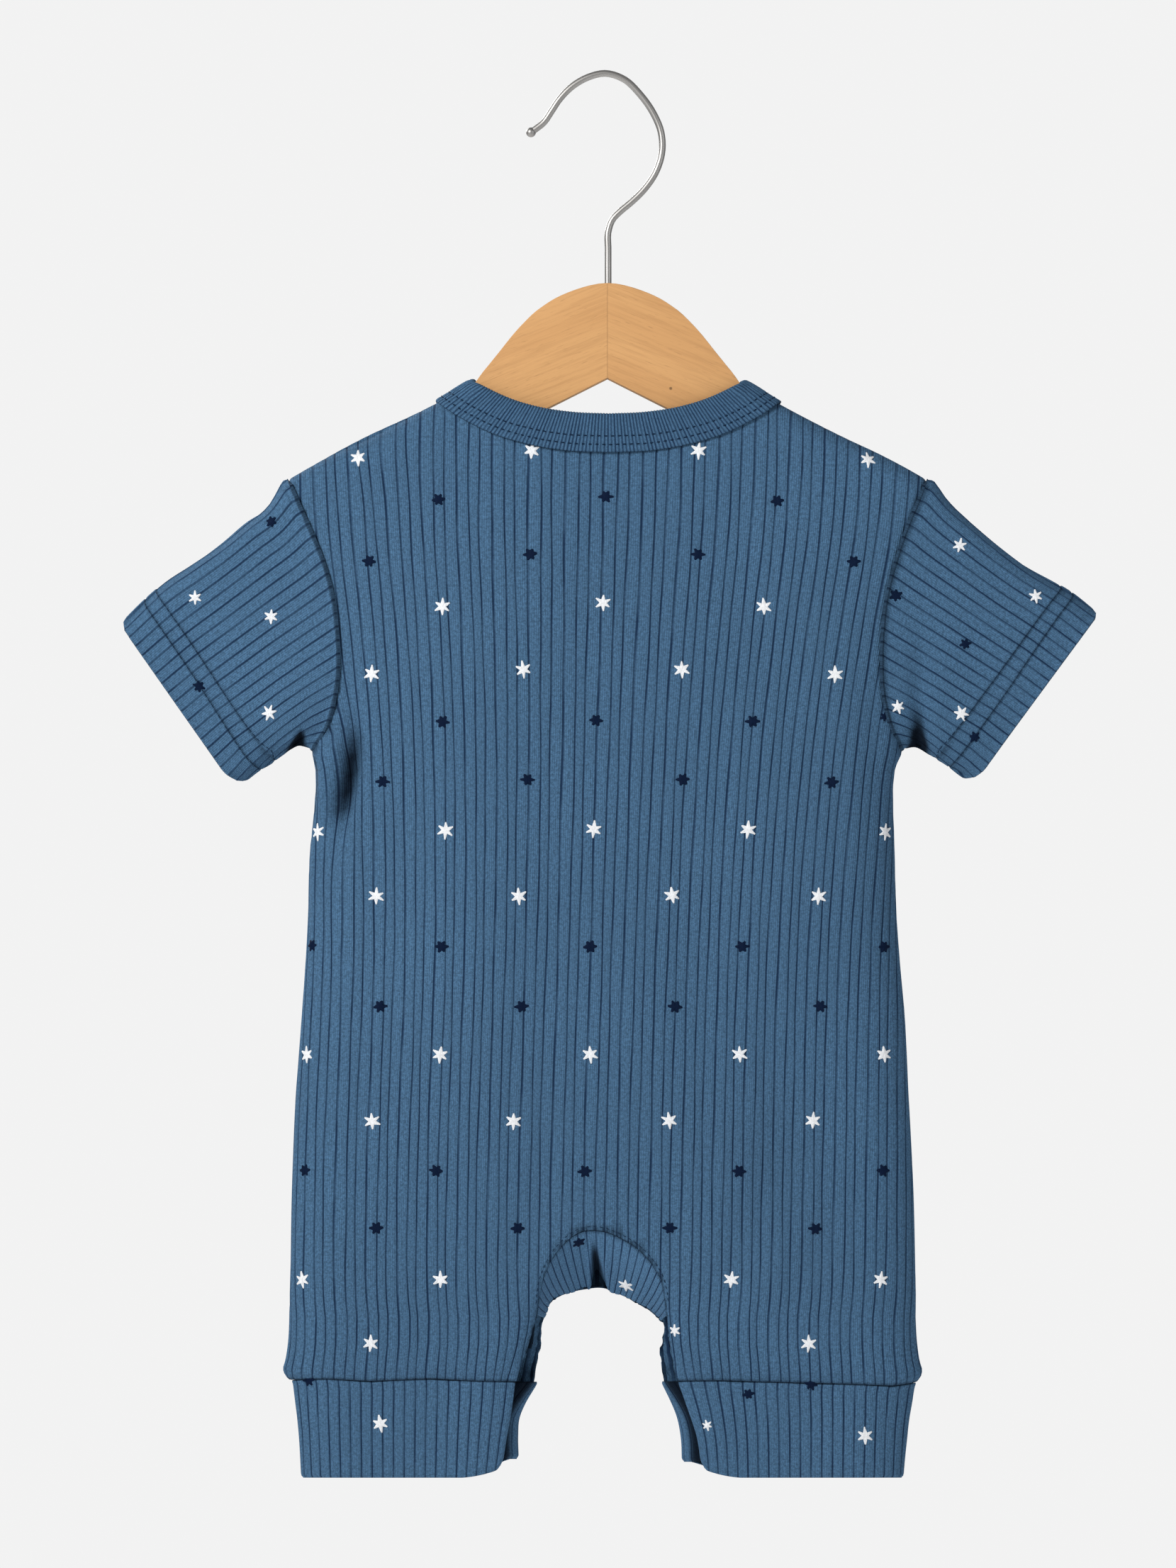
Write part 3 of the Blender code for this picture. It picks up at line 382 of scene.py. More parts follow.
def gap_distance(x, z, face):
    """Distance to the arch and the inner leg edges, large far away from them."""
    distance = np.full(np.shape(x), FAR_AWAY)
    near = (np.abs(x) < ARCH_REACH + 15.0) & (z < ARCH_TOP + 15.0)
    best = np.full(int(near.sum()), FAR_AWAY)
    for edge_x, edge_z in CROTCH_LINES[face]:
        best = np.minimum(best, np.hypot(x[near] - edge_x, z[near] - edge_z))
    distance[near] = best
    return distance


# ------------ folds of the body
# Each fold runs downwards: height, x, depth. Then its widths to the left and the right, and its darkness:
# the painted shadow laid in the cloth's colour on its deep flank.
FOLDS = {
    -1: [
        ([(-246, -109.5, 0), (-262, -105.6, 1.7), (-278, -102.8, 4.8), (-291, -104.8, 6.4),
          (-304, -107.9, 5.4), (-317, -111.4, 2.4), (-336, -114, 0)], 6.8, 2.4, 0.97),
        ([(-255, -121, 0), (-276, -117.5, -1.5), (-292, -116.2, -1.9), (-308, -118, -0.9),
          (-330, -119, 0)], 5, 6, 0),
        ([(-236, 113, 0), (-262, 112, 0.9), (-284, 111, 1), (-312, 113, 0)], 6, 5, 0),
        ([(-330, -60, 0), (-400, -66, 0.7), (-480, -74, 0.9), (-540, -80, 0)], 16, 14, 0),
        ([(-370, 64, 0), (-412, 70, 1.1), (-460, 71, 1.5), (-495, 56, 1.1), (-522, 44, 0)], 13, 9, 0),
        ([(-450, 96, 0), (-474, 85, -1), (-500, 69, -1.4), (-524, 55, -1.1), (-541, 45, 0)], 9, 9, 0),
        ([(-190, -40, 0), (-280, -50, -2.4), (-380, -54, -3), (-470, -62, 0)], 34, 26, 0),
        ([(-420, -20, 0), (-462, -26, 0.9), (-500, -36, 1), (-535, -48, 0)], 9, 8, 0),
        ([(-430, 12, 0), (-470, 22, 0.7), (-500, 32, 0.5), (-530, 40, 0)], 7, 7, 0),
        ([(-176, 40, 0), (-215, 58, 1.2), (-262, 80, 1.4), (-310, 92, 0)], 15, 12, 0),
        ([(-150, 10, 0), (-185, 8, 1.2), (-240, 4, 1), (-300, 0, 0)], 26, 22, 0),
        ([(-300, 30, 0), (-350, 34, 1.2), (-400, 40, 1), (-440, 44, 0)], 12, 16, 0),
    ],
    1: [
        ([(-240, 113, 0), (-262, 109, 1.8), (-282, 106, 4), (-298, 107, 3.2),
          (-322, 112, 0)], 3.2, 6, 0.6),
        ([(-238, -108, 0), (-264, -106, 1.4), (-290, -107.5, 2.2), (-326, -112, 0)], 6, 4, 0.3),
        ([(-210, -46, 0), (-280, -52, 0.8), (-380, -60, 0.9), (-470, -64, 0)], 16, 14, 0),
        ([(-320, 58, 0), (-400, 62, 0.9), (-480, 70, 0.8), (-540, 76, 0)], 15, 15, 0),
        ([(-440, -14, 0), (-490, -26, 1.2), (-535, -46, 0)], 8, 8, 0),
        ([(-440, 12, 0), (-495, 26, 1.2), (-538, 44, 0)], 8, 8, 0),
    ],
}
# Where the ribs lean over with a fold: face, x, height, lean, half width, half height
LEANS = [
    (-1, -113, -290, 3.4, 8, 26), (-1, -96, -152, -2.6, 17, 20), (1, 113, -288, -2.6, 8, 24),
]

# Broad patches of painted light and painted shade in the cloth's colour: x, height, half width, half height,
# amount
PAINTED_LIGHT_PATCHES = {
    -1: [(-80, -360, 26, 75, 0.07), (73, -455, 16, 42, -0.1),
         (62, -515, 12, 28, 0.05), (20, -215, 45, 55, -0.05),
         (30, -390, 22, 70, -0.04), (124, -240, 10, 32, -0.12),
         (104, -335, 26, 100, -0.06), (-90, -508, 34, 30, -0.04)],
    1: [(-40, -330, 40, 80, 0.05), (60, -440, 20, 50, -0.07),
        (-70, -480, 18, 40, -0.06), (20, -250, 40, 40, -0.05), (84, -350, 24, 60, 0.05)],
}


def folded(x, z, face):
    """How far the folds move the cloth along its normal, and the painted shadow they lay in the cloth's
    colour.
    """
    height, light = np.zeros(np.shape(x)), np.ones(np.shape(x))
    for rows, left_width, right_width, painted_shadow in FOLDS[face]:
        rows = rows[::-1]
        middle = np.interp(z, column(rows, 0), column(rows, 1))
        depth = cubic(z, column(rows, 0), column(rows, 2))
        off = x - middle
        height -= depth * np.where(off < 0, hump(off, left_width), hump(off, right_width))
        # Painted shadow: a dark fold's deep flank is darkened in the cloth's colour, on top of the shading
        # of its shape.
        if painted_shadow:
            shaded_flank = 0.45 * left_width if left_width > right_width else -0.45 * right_width
            deepest = max(abs(row[2]) for row in rows)
            hidden = hump(off + shaded_flank, max(left_width, right_width) * 0.62)
            light *= 1 - painted_shadow * smooth(depth / deepest, 0.42, 0.95) * hidden
    height += 0.5 * np.sin(x / 27.0 + 1.3 * face) * np.sin(z / 43.0 + x / 60.0)
    return height, light


class Panel:
    """The ribs of the back (face -1) or the front (face 1): where each one lies at each height."""

    def __init__(self, face):
        self.face = face
        self.levels = np.arange(-562.0, -115.0, LEVEL_STEP)
        self.ribs = np.arange(-45.0, 45.01, RIB_STEP)
        turn = np.linspace(0.0, math.pi, 901)
        places, first, last = [], [], []
        for z in self.levels:
            left, right = float(read(SIDES, z, 1)), float(read(SIDES, z, 2))
            x = (left + right) / 2 - (right - left) / 2 * np.cos(turn)
            left_share = side_share(x, np.full(x.shape, z), face)
            y = float(read(DEPTHS, z, 1)) * np.sqrt(np.maximum(left_share, 0.0))
            along = distances(np.stack([x, y], axis=-1))
            pitch = float(read(RIB_PITCH, z, 1))
            middle = float(np.interp(read(RIB_PITCH, z, 2), x, along))
            wanted = self.ribs * pitch + middle
            row = np.interp(wanted, along, x)
            row += np.minimum(wanted, 0.0) + np.maximum(wanted - along[-1], 0.0)
            places.append(row)
            first.append((SIDE_SEAM_GAP - middle) / pitch)
            last.append((along[-1] - SIDE_SEAM_GAP - middle) / pitch)
        self.places = np.array(places)
        self.first, self.last = np.array(first), np.array(last)

    def steer(self, rib, z):
        """A knitted rib never runs quite straight."""
        wander = 0.04 * np.sin(z / 21.0 + rib * 1.7) + 0.025 * np.sin(z / 8.3 + rib * 2.9)
        return rib + wander + 0.26 * np.sin(rib * 0.21 + 0.8 + self.face) + 0.08 * np.sin(rib * 2.1)

    def place(self, rib, z):
        level = np.clip((z - self.levels[0]) / LEVEL_STEP, 0, len(self.levels) - 1.001)
        spot = np.clip((rib - self.ribs[0]) / RIB_STEP, 0, len(self.ribs) - 1.001)
        x = between(self.places, level, spot)
        return x + self.leg_shift(x, z)

    def leg_shift(self, x, z):
        """The ribs nearest to a leg's inner edge lean the way it goes."""
        shift = np.zeros(np.shape(x))
        for index, side, share, reach in ((1, -1, 0.34, 7.0), (2, 1, 0.45, 11.0)):
            start = read(INNER_LEGS, -500.0, index)
            edge = read(INNER_LEGS, np.maximum(z, CUFF_SEAM), index)
            beyond = np.maximum(side * (x - edge), 0.0)
            follows = share * (edge - start) * np.exp(-beyond / reach) * np.clip(side * x / 12.0, 0, 1)
            shift = np.where(side * x > 0, follows, shift)
        return shift * smooth(-z, 500.0, 545.0)

    def limits(self, z):
        return np.interp(z, self.levels, self.first), np.interp(z, self.levels, self.last)

    def inside(self, rib, z):
        first, last = self.limits(z)
        steered = self.steer(rib, z)
        keeps = (steered >= first) & (steered <= last)
        return keeps & ~in_gap(self.place(steered, z), z, self.face)

    def lean(self, x, z):
        for face, middle, height, amount, width, tall in LEANS:
            if face == self.face:
                x = x + amount * hump(x - middle, width) * hump(z - height, tall)
        return x

    def edge_distance(self, rib, x, z):
        """Distance to the nearest seam or edge."""
        first, last = self.limits(z)
        pitch = read(RIB_PITCH, z, 1)
        steered = self.steer(rib, z)
        side = np.minimum(steered - first, last - steered) * pitch
        return np.minimum(np.minimum(side, z - CUFF_SEAM), gap_distance(x, z, self.face))

    def point(self, rib, z):
        """Points of the finished outer face and the painted shade of the cloth there."""
        x = self.place(self.steer(rib, z), z)
        distance = np.maximum(self.edge_distance(rib, x, z), 0.0)
        x = np.where(distance > 0.5, self.lean(x, z), x)
        base, normal = cloth_base(x, z, self.face)
        normal[..., 2] *= 1 - smooth(-z, 537.0, 542.0)
        normal = unit(normal)
        low = smooth(-z, 541.0, 543.0)
        seam = hump(distance, 0.75 - 0.3 * low) * (1 - 0.5 * low)
        folds, light = folded(x, z, self.face)
        folds = folds * (1 - hump(distance, 3.0)) * smooth(ridge(x) - z, 0.0, 7.0)
        over_top = 0.25 + 0.75 * smooth(ridge(x) - z, 0.5, 9.0)
        height = rib_height(rib, read(RIB_PITCH, z, 1)) * (1 - 0.6 * seam) * over_top + folds - 0.7 * seam
        # The leg stands out a little just above the cuff seam
        height += 0.7 * hump(z + 541.0, 3.2)
        points = base + normal * height[..., None]
        points += self.gathers(x, z)
        # Painted shade: a thin dark line along each seam and edge, times the folds' painted shadow.
        sewn = hump(distance, np.where(z < CUFF_SEAM + 3.0, 0.25, 0.36))
        shade = (1 - 0.85 * sewn) * light
        # Painted light and painted shade: broad patches lighten or darken the panel's colour.
        for middle, level, width, tall, amount in PAINTED_LIGHT_PATCHES[self.face]:
            shade = shade * (1 + amount * hump(x - middle, width) * hump(z - level, tall))
        return points, shade

    def gathers(self, x, z):
        """Crinkles along the front's inner leg edges."""
        moved = np.zeros(np.shape(x) + (3,))
        if self.face < 0:
            return moved
        distance = gap_distance(x, z, self.face)
        near = hump(distance, 5.0) * smooth(-z, 510.0, 530.0)
        wave = np.sin(z * 0.95 + x * 0.35) + 0.6 * np.sin(z * 1.7 - x * 0.5 + 1.0)
        moved[..., 0] = 0.22 * near * wave
        moved[..., 1] = 0.5 * near * np.cos(z * 1.1 + x * 0.8)
        rolled = np.clip(1 - distance / 7.0, 0, 1) ** 1.5 * smooth(-z, 505.0, 520.0)
        moved[..., 1] += 6.0 * rolled * smooth(z, -545.4, -531.0)
        moved[..., 2] -= 1.3 * smooth(distance, 15.0, 9.0) * hump(z - CUFF_SEAM, 3.5)
        return moved

    def top(self, x):
        """Height of the panel's top edge: shoulders, and the neck edge under the band."""
        reach = np.abs(x - NECK_MIDDLE)
        neck = read(NECK_EDGE, reach, 1 if self.face < 0 else 2)
        return np.where(np.abs(x - MIDDLE) < NECK_REACH, np.minimum(neck, ridge(x)), ridge(x)) - 0.004

    def grid(self):
        """Rows of (rib, height) from the top edge down to the cuff seam."""
        ribs = rib_columns(-RIB_REACH, RIB_REACH)
        z = np.full(ribs.shape, -150.0)
        for _ in range(40):
            z = self.top(self.place(self.steer(ribs, z), z))
        heights = [z - drop for drop in roll_drops(10)]
        rolled = heights[-1]
        shares = [np.linspace(0.0, 0.9, 54)[1:], np.linspace(0.91, 0.985, 14), [0.989, 0.993, 0.997, 1.0]]
        for share in np.concatenate(shares):
            heights.append(rolled + (CUFF_SEAM + SEAM_HALF_GAP - rolled) * share)
        heights = np.array(heights)
        return np.stack([np.broadcast_to(ribs, heights.shape), heights], axis=-1)


def rib_columns(first, last):
    return np.array([rib + phase for rib in range(first, last) for phase in RIB_PHASES] + [float(last)])


def rib_height(rib, pitch, share=1.0):
    """Rounded ribs with a narrow groove at every whole number."""
    cloth = bpy.context.scene.romper_cloth
    from_groove = np.abs(rib - np.round(rib)) * pitch
    crown = bulge(from_groove / (0.5 * pitch))
    depth, width = cloth.groove_depth / MM, cloth.groove_width / MM
    return share * (0.17 * crown - depth * hump(from_groove, width))


SEAM_SAG = [
    # x, how far the cuff seam hangs below its plain height
    (-134, -0.8), (-116.3, -1.1), (-98.1, -0.2), (-72.7, -1.2), (-52.7, -0.2), (-38, -0.1), (0, 0),
    (31.8, -0.3), (49, -0.5), (65.5, 0.1), (83.6, 0.5), (106, 1.2), (120, 1.7), (125.5, 1.1),
    (130, 0.1),
]


def true_place(points):
    """The cloth is laid out as the stage's camera sees it. This gives each point its true place."""
    points = np.array(points, float)
    sag = np.interp(points[..., 0], column(SEAM_SAG, 0), column(SEAM_SAG, 1))
    points[..., 2] -= sag * hump(points[..., 2] - CUFF_SEAM, 11.0)
    share = 1 + points[..., 1] / VIEW_DISTANCE
    for axis, centre in ((0, VIEW_CENTRE[0]), (2, VIEW_CENTRE[1])):
        points[..., axis] = centre + (points[..., axis] - centre) * share
    return points


# ------------ meshes from grids
def cut_sheet(grid, inside, point):
    """Cuts a grid of (u, v) places along the edge of inside() and sets its points."""
    keeps = inside(grid[..., 0], grid[..., 1])
    count = int(keeps.sum())
    number = np.full(keeps.shape, -1)
    number[keeps] = np.arange(count)
    places = [grid[keeps]]
    crossing = {}
    for axis, (before, after) in enumerate(((np.s_[:-1], np.s_[1:]), (np.s_[:, :-1], np.s_[:, 1:]))):
        spots = np.argwhere(keeps[before] != keeps[after])
        if not len(spots):
            continue
        index = tuple(spots.T)
        starts_in = keeps[before][index][:, None]
        begin = np.where(starts_in, grid[before][index], grid[after][index])
        finish = np.where(starts_in, grid[after][index], grid[before][index])
        low, high = np.zeros(len(spots)), np.ones(len(spots))
        for _ in range(CUT_STEPS):
            mid = (low + high) / 2
            at = begin + (finish - begin) * mid[:, None]
            ok = inside(at[:, 0], at[:, 1])
            low, high = np.where(ok, mid, low), np.where(ok, high, mid)
        places.append(begin + (finish - begin) * low[:, None])
        for order, spot in enumerate(spots):
            crossing[(axis, spot[0], spot[1])] = count + order
        count += len(spots)
    faces = []
    for r in range(len(keeps) - 1):
        whole = keeps[r, :-1] & keeps[r + 1, :-1] & keeps[r, 1:] & keeps[r + 1, 1:]
        some = (keeps[r, :-1] | keeps[r + 1, :-1] | keeps[r, 1:] | keeps[r + 1, 1:]) & ~whole
        for c in np.flatnonzero(whole):
            faces.append((number[r, c], number[r + 1, c], number[r + 1, c + 1], number[r, c + 1]))
        for c in np.flatnonzero(some):
            corners = [(r, c), (r + 1, c), (r + 1, c + 1), (r, c + 1)]
            edges = [(0, r, c), (1, r + 1, c), (0, r, c + 1), (1, r, c)]
            face = []
            for corner, edge in zip(corners, edges):
                if keeps[corner]:
                    face.append(number[corner])
                if edge in crossing:
                    face.append(crossing[edge])
            if len(face) > 2:
                faces.append(tuple(face))
    places = np.vstack(places)
    points, shade = point(places[:, 0], places[:, 1])
    return points, [tuple(int(i) for i in face) for face in faces], places, shade


def in_scene(name, data):
    """A new object of the scene."""
    added = bpy.data.objects.new(name, data)
    bpy.context.scene.collection.objects.link(added)
    return added


def add_piece(name, mesh, finishes):
    """A new piece in its finishes."""
    for finish in finishes:
        mesh.materials.append(finish_of(finish))
    return in_scene(name, mesh)


def cloth_face(name, points, faces, places, shade, finishes):
    """A cloth face with no wall yet: its (u, v) places are a UV map, its shade an attribute."""
    mesh = bpy.data.meshes.new(name)
    mesh.from_pydata((np.asarray(points) * MM).tolist(), [], faces)
    index = np.empty(len(mesh.loops), np.int32)
    mesh.loops.foreach_get("vertex_index", index)
    layer = mesh.uv_layers.new(name="ribs")
    layer.data.foreach_set("uv", np.asarray(places, np.float32)[index].ravel())
    mesh.attributes.new("shade", "FLOAT", "POINT").data.foreach_set("value", np.asarray(shade, np.float32))
    form = bmesh.new()
    form.from_mesh(mesh)
    bmesh.ops.remove_doubles(form, verts=form.verts, dist=MERGE)
    bmesh.ops.dissolve_degenerate(form, edges=form.edges, dist=MERGE / 2)
    form.to_mesh(mesh)
    form.free()
    return add_piece(name, mesh, finishes)


def deselect_all():
    for other in bpy.context.view_layer.objects:
        other.select_set(False)


def choose(piece):
    deselect_all()
    bpy.context.view_layer.objects.active = piece
    piece.select_set(True)


def give_wall(piece, thickness, outward):
    """Turns the face outwards and gives the cloth its wall on the inner side."""
    mesh = piece.data
    normals = np.array([face.normal for face in mesh.polygons])
    if outward is None:
        outward = np.array([face.center for face in mesh.polygons]) * (0.0, 1.0, 0.0)
    if float((normals * outward).sum()) < 0:
        mesh.flip_normals()
    choose(piece)
    wall = piece.modifiers.new("wall", "SOLIDIFY")
    wall.thickness = thickness
    wall.offset = -1.0
    wall.use_even_offset = False
    # The inner faces take the last finish, the inside rib that is a painted-shade copy.
    wall.material_offset = len(mesh.materials) - 1
    bpy.ops.object.modifier_apply(modifier="wall")
    bpy.ops.object.shade_smooth_by_angle(angle=math.radians(WALL_SHARP), keep_sharp_edges=False)
    return piece


def settle(piece, nodes=()):
    """Hands a finished piece to the frame."""
    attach(piece, "root")
    if nodes:
        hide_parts(*nodes)
    return piece


def ribbed_sheet(
        name, form, thickness, outward=None, finish="body_rib", length_unit=4.5, first_groove=0.0):
    """A finished cloth piece. Its outside faces outward, or away from the middle plane."""
    points, faces, places, shade = cut_sheet(form.grid(), form.inside, form.point)
    places = places / (1.0, length_unit) + (first_groove, 0.0)
    piece = cloth_face(name, true_place(points), faces, places, shade, [finish, "inside_rib"])
    return give_wall(piece, thickness, outward)


def flat_cut(face):
    """Area of one panel's cut in square metres, from its own outline."""
    z = np.linspace(CUFF_SEAM, SHOULDER_TIP, 400)
    width = read(SIDES, z, 2) - read(SIDES, z, 1)
    line = CROTCH_LINES[face]
    arch = np.interp(z, [CUFF_SEAM, -500.0, -484.0], [line[-1, 0] - line[0, 0], 46.0, 0.0])
    area = float(np.trapz(width - arch + ROLLED_SIDES, z))
    x = np.linspace(SIDES[0][1], SIDES[0][2], 300)
    area += float(np.trapz(np.maximum(PANELS[face].top(x) - SHOULDER_TIP, -12.0), x))
    return area * MM * MM


# ------------ sleeves
SLEEVE_PITCH = [(0, 5.6), (0.4, 5.15), (0.8, 4.8), (1, 4.75)]
# Tucks of a sleeve, as rows of share out, turn round, half width in share, squeeze and darkness, the painted
# shadow in the tuck
SLEEVE_TUCKS = {
    (-1, -1): [(0.24, 0.882, 0.02, 0, 0), (0.23, 0.905, 0.04, 0.45, 0.9), (0.21, 0.94, 0.08, 0.8, 1),
               (0.195, 1, 0.14, 0.92, 1)],
    (-1, 1): [(0.14, 0.55, 0.08, 0, 0), (0.17, 0.8, 0.08, 0.2, 0.1), (0.2, 1, 0.12, 0.6, 0.8)],
    (1, -1): [(0.22, 0.3, 0.1, 0, 0), (0.27, 0.55, 0.09, 0.14, 0.12), (0.28, 0.76, 0.08, 0.26, 0.25),
              (0.27, 0.87, 0.08, 0.5, 0.6), (0.23, 0.93, 0.1, 0.8, 0.95), (0.17, 1, 0.15, 0.92, 1)],
    (1, 1): [(0.1, 0.4, 0.08, 0, 0), (0.14, 0.75, 0.08, 0.2, 0.1), (0.18, 1, 0.12, 0.6, 0.8)],
}


class Sleeve:
    """A sleeve on one side: ribs run out along it, numbered round it from the top fold."""

    def __init__(self, side):
        self.side = side
        self.first = 1 if side < 0 else 3
        self.shares = np.linspace(0.0, 1.0, 41)
        self.turns = (1 - np.cos(np.linspace(0.0, math.pi, 241))) / 2
        self.rim, self.around, self.lengths = {}, {}, {}
        drop = np.linspace(0.0, 1.0, 500) ** 1.6
        z = SHOULDER_TIP + (UNDERARM - SHOULDER_TIP) * drop
        x = read(SIDES, z, 1 if side < 0 else 2)
        for face in (-1, 1):
            y = face * np.sqrt(np.maximum(depth_squared(x, z, face), 0.0))
            y[-1] = y[0] = 0.0
            line = np.stack([x, y, z], axis=-1)
            along = distances(line)
            self.rim[face] = sample(line, along / along[-1], self.turns)
            rings = [self.plain(np.full(self.turns.shape, share), self.turns, face, 0.0)
                     for share in self.shares]
            self.around[face] = np.array([distances(ring) for ring in rings])
            self.lengths[face] = np.linalg.norm((rings[-1] - rings[0])[:, ::2], axis=1)

    def length(self, turn, face):
        """Length of the sleeve along a rib."""
        return np.interp(turn, self.turns, self.lengths[face])

    def hem_row(self, turn, number):
        """Distance of a row of hem stitches from the hem's edge."""
        start, less = HEM_ROWS[number]
        return start - less * turn + 0.3 * np.sin(6.5 * turn + number + self.side)

    def plain(self, share, turn, face, bent=1.0):
        """Points of the plain outer face: share runs out from the armhole, turn from fold to fold."""
        if bent:
            pull, reach = HEM_CORNERS[self.side]
            low, high = np.clip((turn - 1) / reach + 1, 0, 1), np.clip(1 - turn / 0.03, 0, 1)
            corner = pull * (1 - np.sqrt(1 - low**2)) + 1.8 * (1 - np.sqrt(1 - high**2))
            share = share - corner / self.length(turn, face) * smooth(share, 0.5, 1.0)
        points = (1 - share)[..., None] * sample(self.rim[face], self.turns, turn)
        for number, axis in ((self.first, 0), (self.first + 1, 2)):
            rim_top, rim_under = self.rim[face][[0, -1], axis]
            hem_top, hem_under = SLEEVE_TOPS[-1][number], SLEEVE_UNDERS[-1][number]
            top_bend = read(SLEEVE_TOPS, share, number) - (1 - share) * rim_top - share * hem_top
            under_bend = read(SLEEVE_UNDERS, share, number) - (1 - share) * rim_under - share * hem_under
            points[..., axis] += share * (hem_top + (hem_under - hem_top) * turn)
            points[..., axis] += bent * (top_bend * (1 - turn) ** 6 + under_bend * turn**5)
        roll = bulge(turn / SLEEVE_ROLL_SHARE) * bulge((1 - turn) / SLEEVE_ROLL_SHARE)
        points[..., 1] += share * face * SLEEVE_HEM_DEPTH * np.sqrt(np.maximum(roll, 0.0))
        return points

    def turn_at(self, rib, share, face):
        """Turn round the sleeve at a rib, and how far round the seam is, both from the top fold."""
        level = np.clip(share, 0, 1) * (len(self.shares) - 1)
        row = np.minimum(level.astype(int), len(self.shares) - 2)
        part = level - row
        wanted = np.abs(rib) * np.interp(share, column(SLEEVE_PITCH, 0), column(SLEEVE_PITCH, 1))
        table = self.around[face]
        turn = np.empty(np.shape(rib))
        total = table[row, -1] * (1 - part) + table[row + 1, -1] * part
        for number in np.unique(row):
            here = row == number
            low = np.interp(wanted[here], table[number], self.turns)
            high = np.interp(wanted[here], table[number + 1], self.turns)
            turn[here] = low * (1 - part[here]) + high * part[here]
        return turn, total - wanted

    def split(self, rib, share, do):
        """Runs do() for the back's and the front's ribs and puts the answers together."""
        back = rib >= 0
        return [np.where(back if a.ndim == back.ndim else back[..., None], a, b)
                for a, b in zip(do(rib, share, -1), do(rib, share, 1))]

    def inside(self, rib, share):
        return self.split(rib, share, self.turn_at)[1] >= SEAM_HALF_GAP

    def finish(self, rib, share, face):
        turn, left = self.turn_at(rib, share, face)
        base = self.plain(share, turn, face)
        step = 0.004
        ahead = np.where(share > 0.5, -step, step)
        aside = np.where(turn > 0.5, -step, step)
        along = (self.plain(share + ahead, turn, face) - base) / ahead[..., None]
        round_it = (self.plain(share, turn + aside, face) - base) / aside[..., None]
        normal = unit(np.cross(along, round_it) * (self.side * -face))
        at_fold = (turn < step) | (turn > 1 - step)
        upright = np.array([0.0, 0.0, 1.0]) * np.where(turn < 0.5, 1, -1)[..., None]
        normal = np.where(at_fold[..., None], upright, normal)
        length = self.length(turn, face)
        from_armhole, hem = share * length, length * (1 - share)
        at_rim = np.maximum(from_armhole, 0.0)
        seam = hump(at_rim, 0.9)
        pitch = np.interp(share, column(SLEEVE_PITCH, 0), column(SLEEVE_PITCH, 1))
        height = rib_height(rib + 0.5, pitch) * (1 - 0.6 * seam) - 0.8 * seam
        height -= 1.0 * smooth(-from_armhole, 0.0, 0.35)
        outer, inner = self.hem_row(turn, 0), self.hem_row(turn, 1)
        sewn = hump(hem - outer, 0.5) + hump(hem - inner, 0.5)
        height -= 0.5 * sewn
        height += 0.35 * smooth(hem - inner, 0.8, -0.4) - 0.5 * hump(hem, 0.6)
        height += 0.3 * np.sin(share * 9.0 + turn * 5.0 + self.side) * smooth(share, 0.1, 0.3)
        # Painted shade: dark lines at the armhole seam, where the back meets the front at the folds, and
        # along the hem's stitch rows.
        shade = (1 - 0.62 * hump(at_rim, 0.34)) * (1 - 0.5 * hump(left, 0.4)) * (1 - 0.55 * sewn)
        points = base + normal * height[..., None]
        tucks = np.array(SLEEVE_TUCKS[(self.side, face)])
        middle, _, width, deep, dark = np.moveaxis(sample(tucks, tucks[:, 1], turn), -1, 0)
        beside = hump(share - middle - width * 2.0, width)
        squeeze = deep * hump(share - middle, width) - 0.12 * deep * beside
        points[..., 1] *= 1 - squeeze * (1 - seam)
        # Painted shadow in the tucks.
        shade = shade * (1 - 0.97 * smooth(dark * hump(share - middle, width), 0.16, 0.66))
        # Painted light: the left sleeve's colour is lightened by 5 % and the right one's by 2 %.
        return points, np.clip(shade, 0.03, 1.0) * (1.05 if self.side < 0 else 1.02)

    def point(self, rib, share):
        return self.split(rib, share, self.finish)

    def grid(self):
        columns = []
        for rib in rib_columns(-27, 27) - 0.5:
            face = -1 if rib >= 0 else 1
            turn = float(self.turn_at(np.array([rib]), np.array([0.75]), face)[0][0])
            length = float(self.length(turn, face))
            outer, inner = float(self.hem_row(turn, 0)), float(self.hem_row(turn, 1))
            around_row = np.array([-1.2, -0.5, -0.2, 0.0, 0.2, 0.5, 1.2])
            hem = np.concatenate([
                [0.0, 0.4, 1.3, 3.6, 6.6, 9.4], outer + around_row, [(outer + inner) / 2],
                inner + around_row, [inner + 2.6]])
            shares = 1 - hem[::-1] / length
            body = np.linspace(0.045, shares[0], 23)[:-1]
            lip = 0.0005 - 0.45 * float(smooth(turn, 0.004, 0.05)) / length
            shares = np.concatenate([[lip, 0.002, 0.008, 0.016, 0.028], body, shares])
            columns.append(np.stack([np.full(shares.shape, rib), shares], axis=-1))
        return np.stack(columns, axis=1)


# ------------ cuffs
CUFF_PITCH = 4.5
MIDDLE_LEVEL = 10            # of the levels that a cuff is laid out on, half way down
HALF_STEPS, PATH_STEPS = 90, 500  # points of a path along each face, and along the whole of it


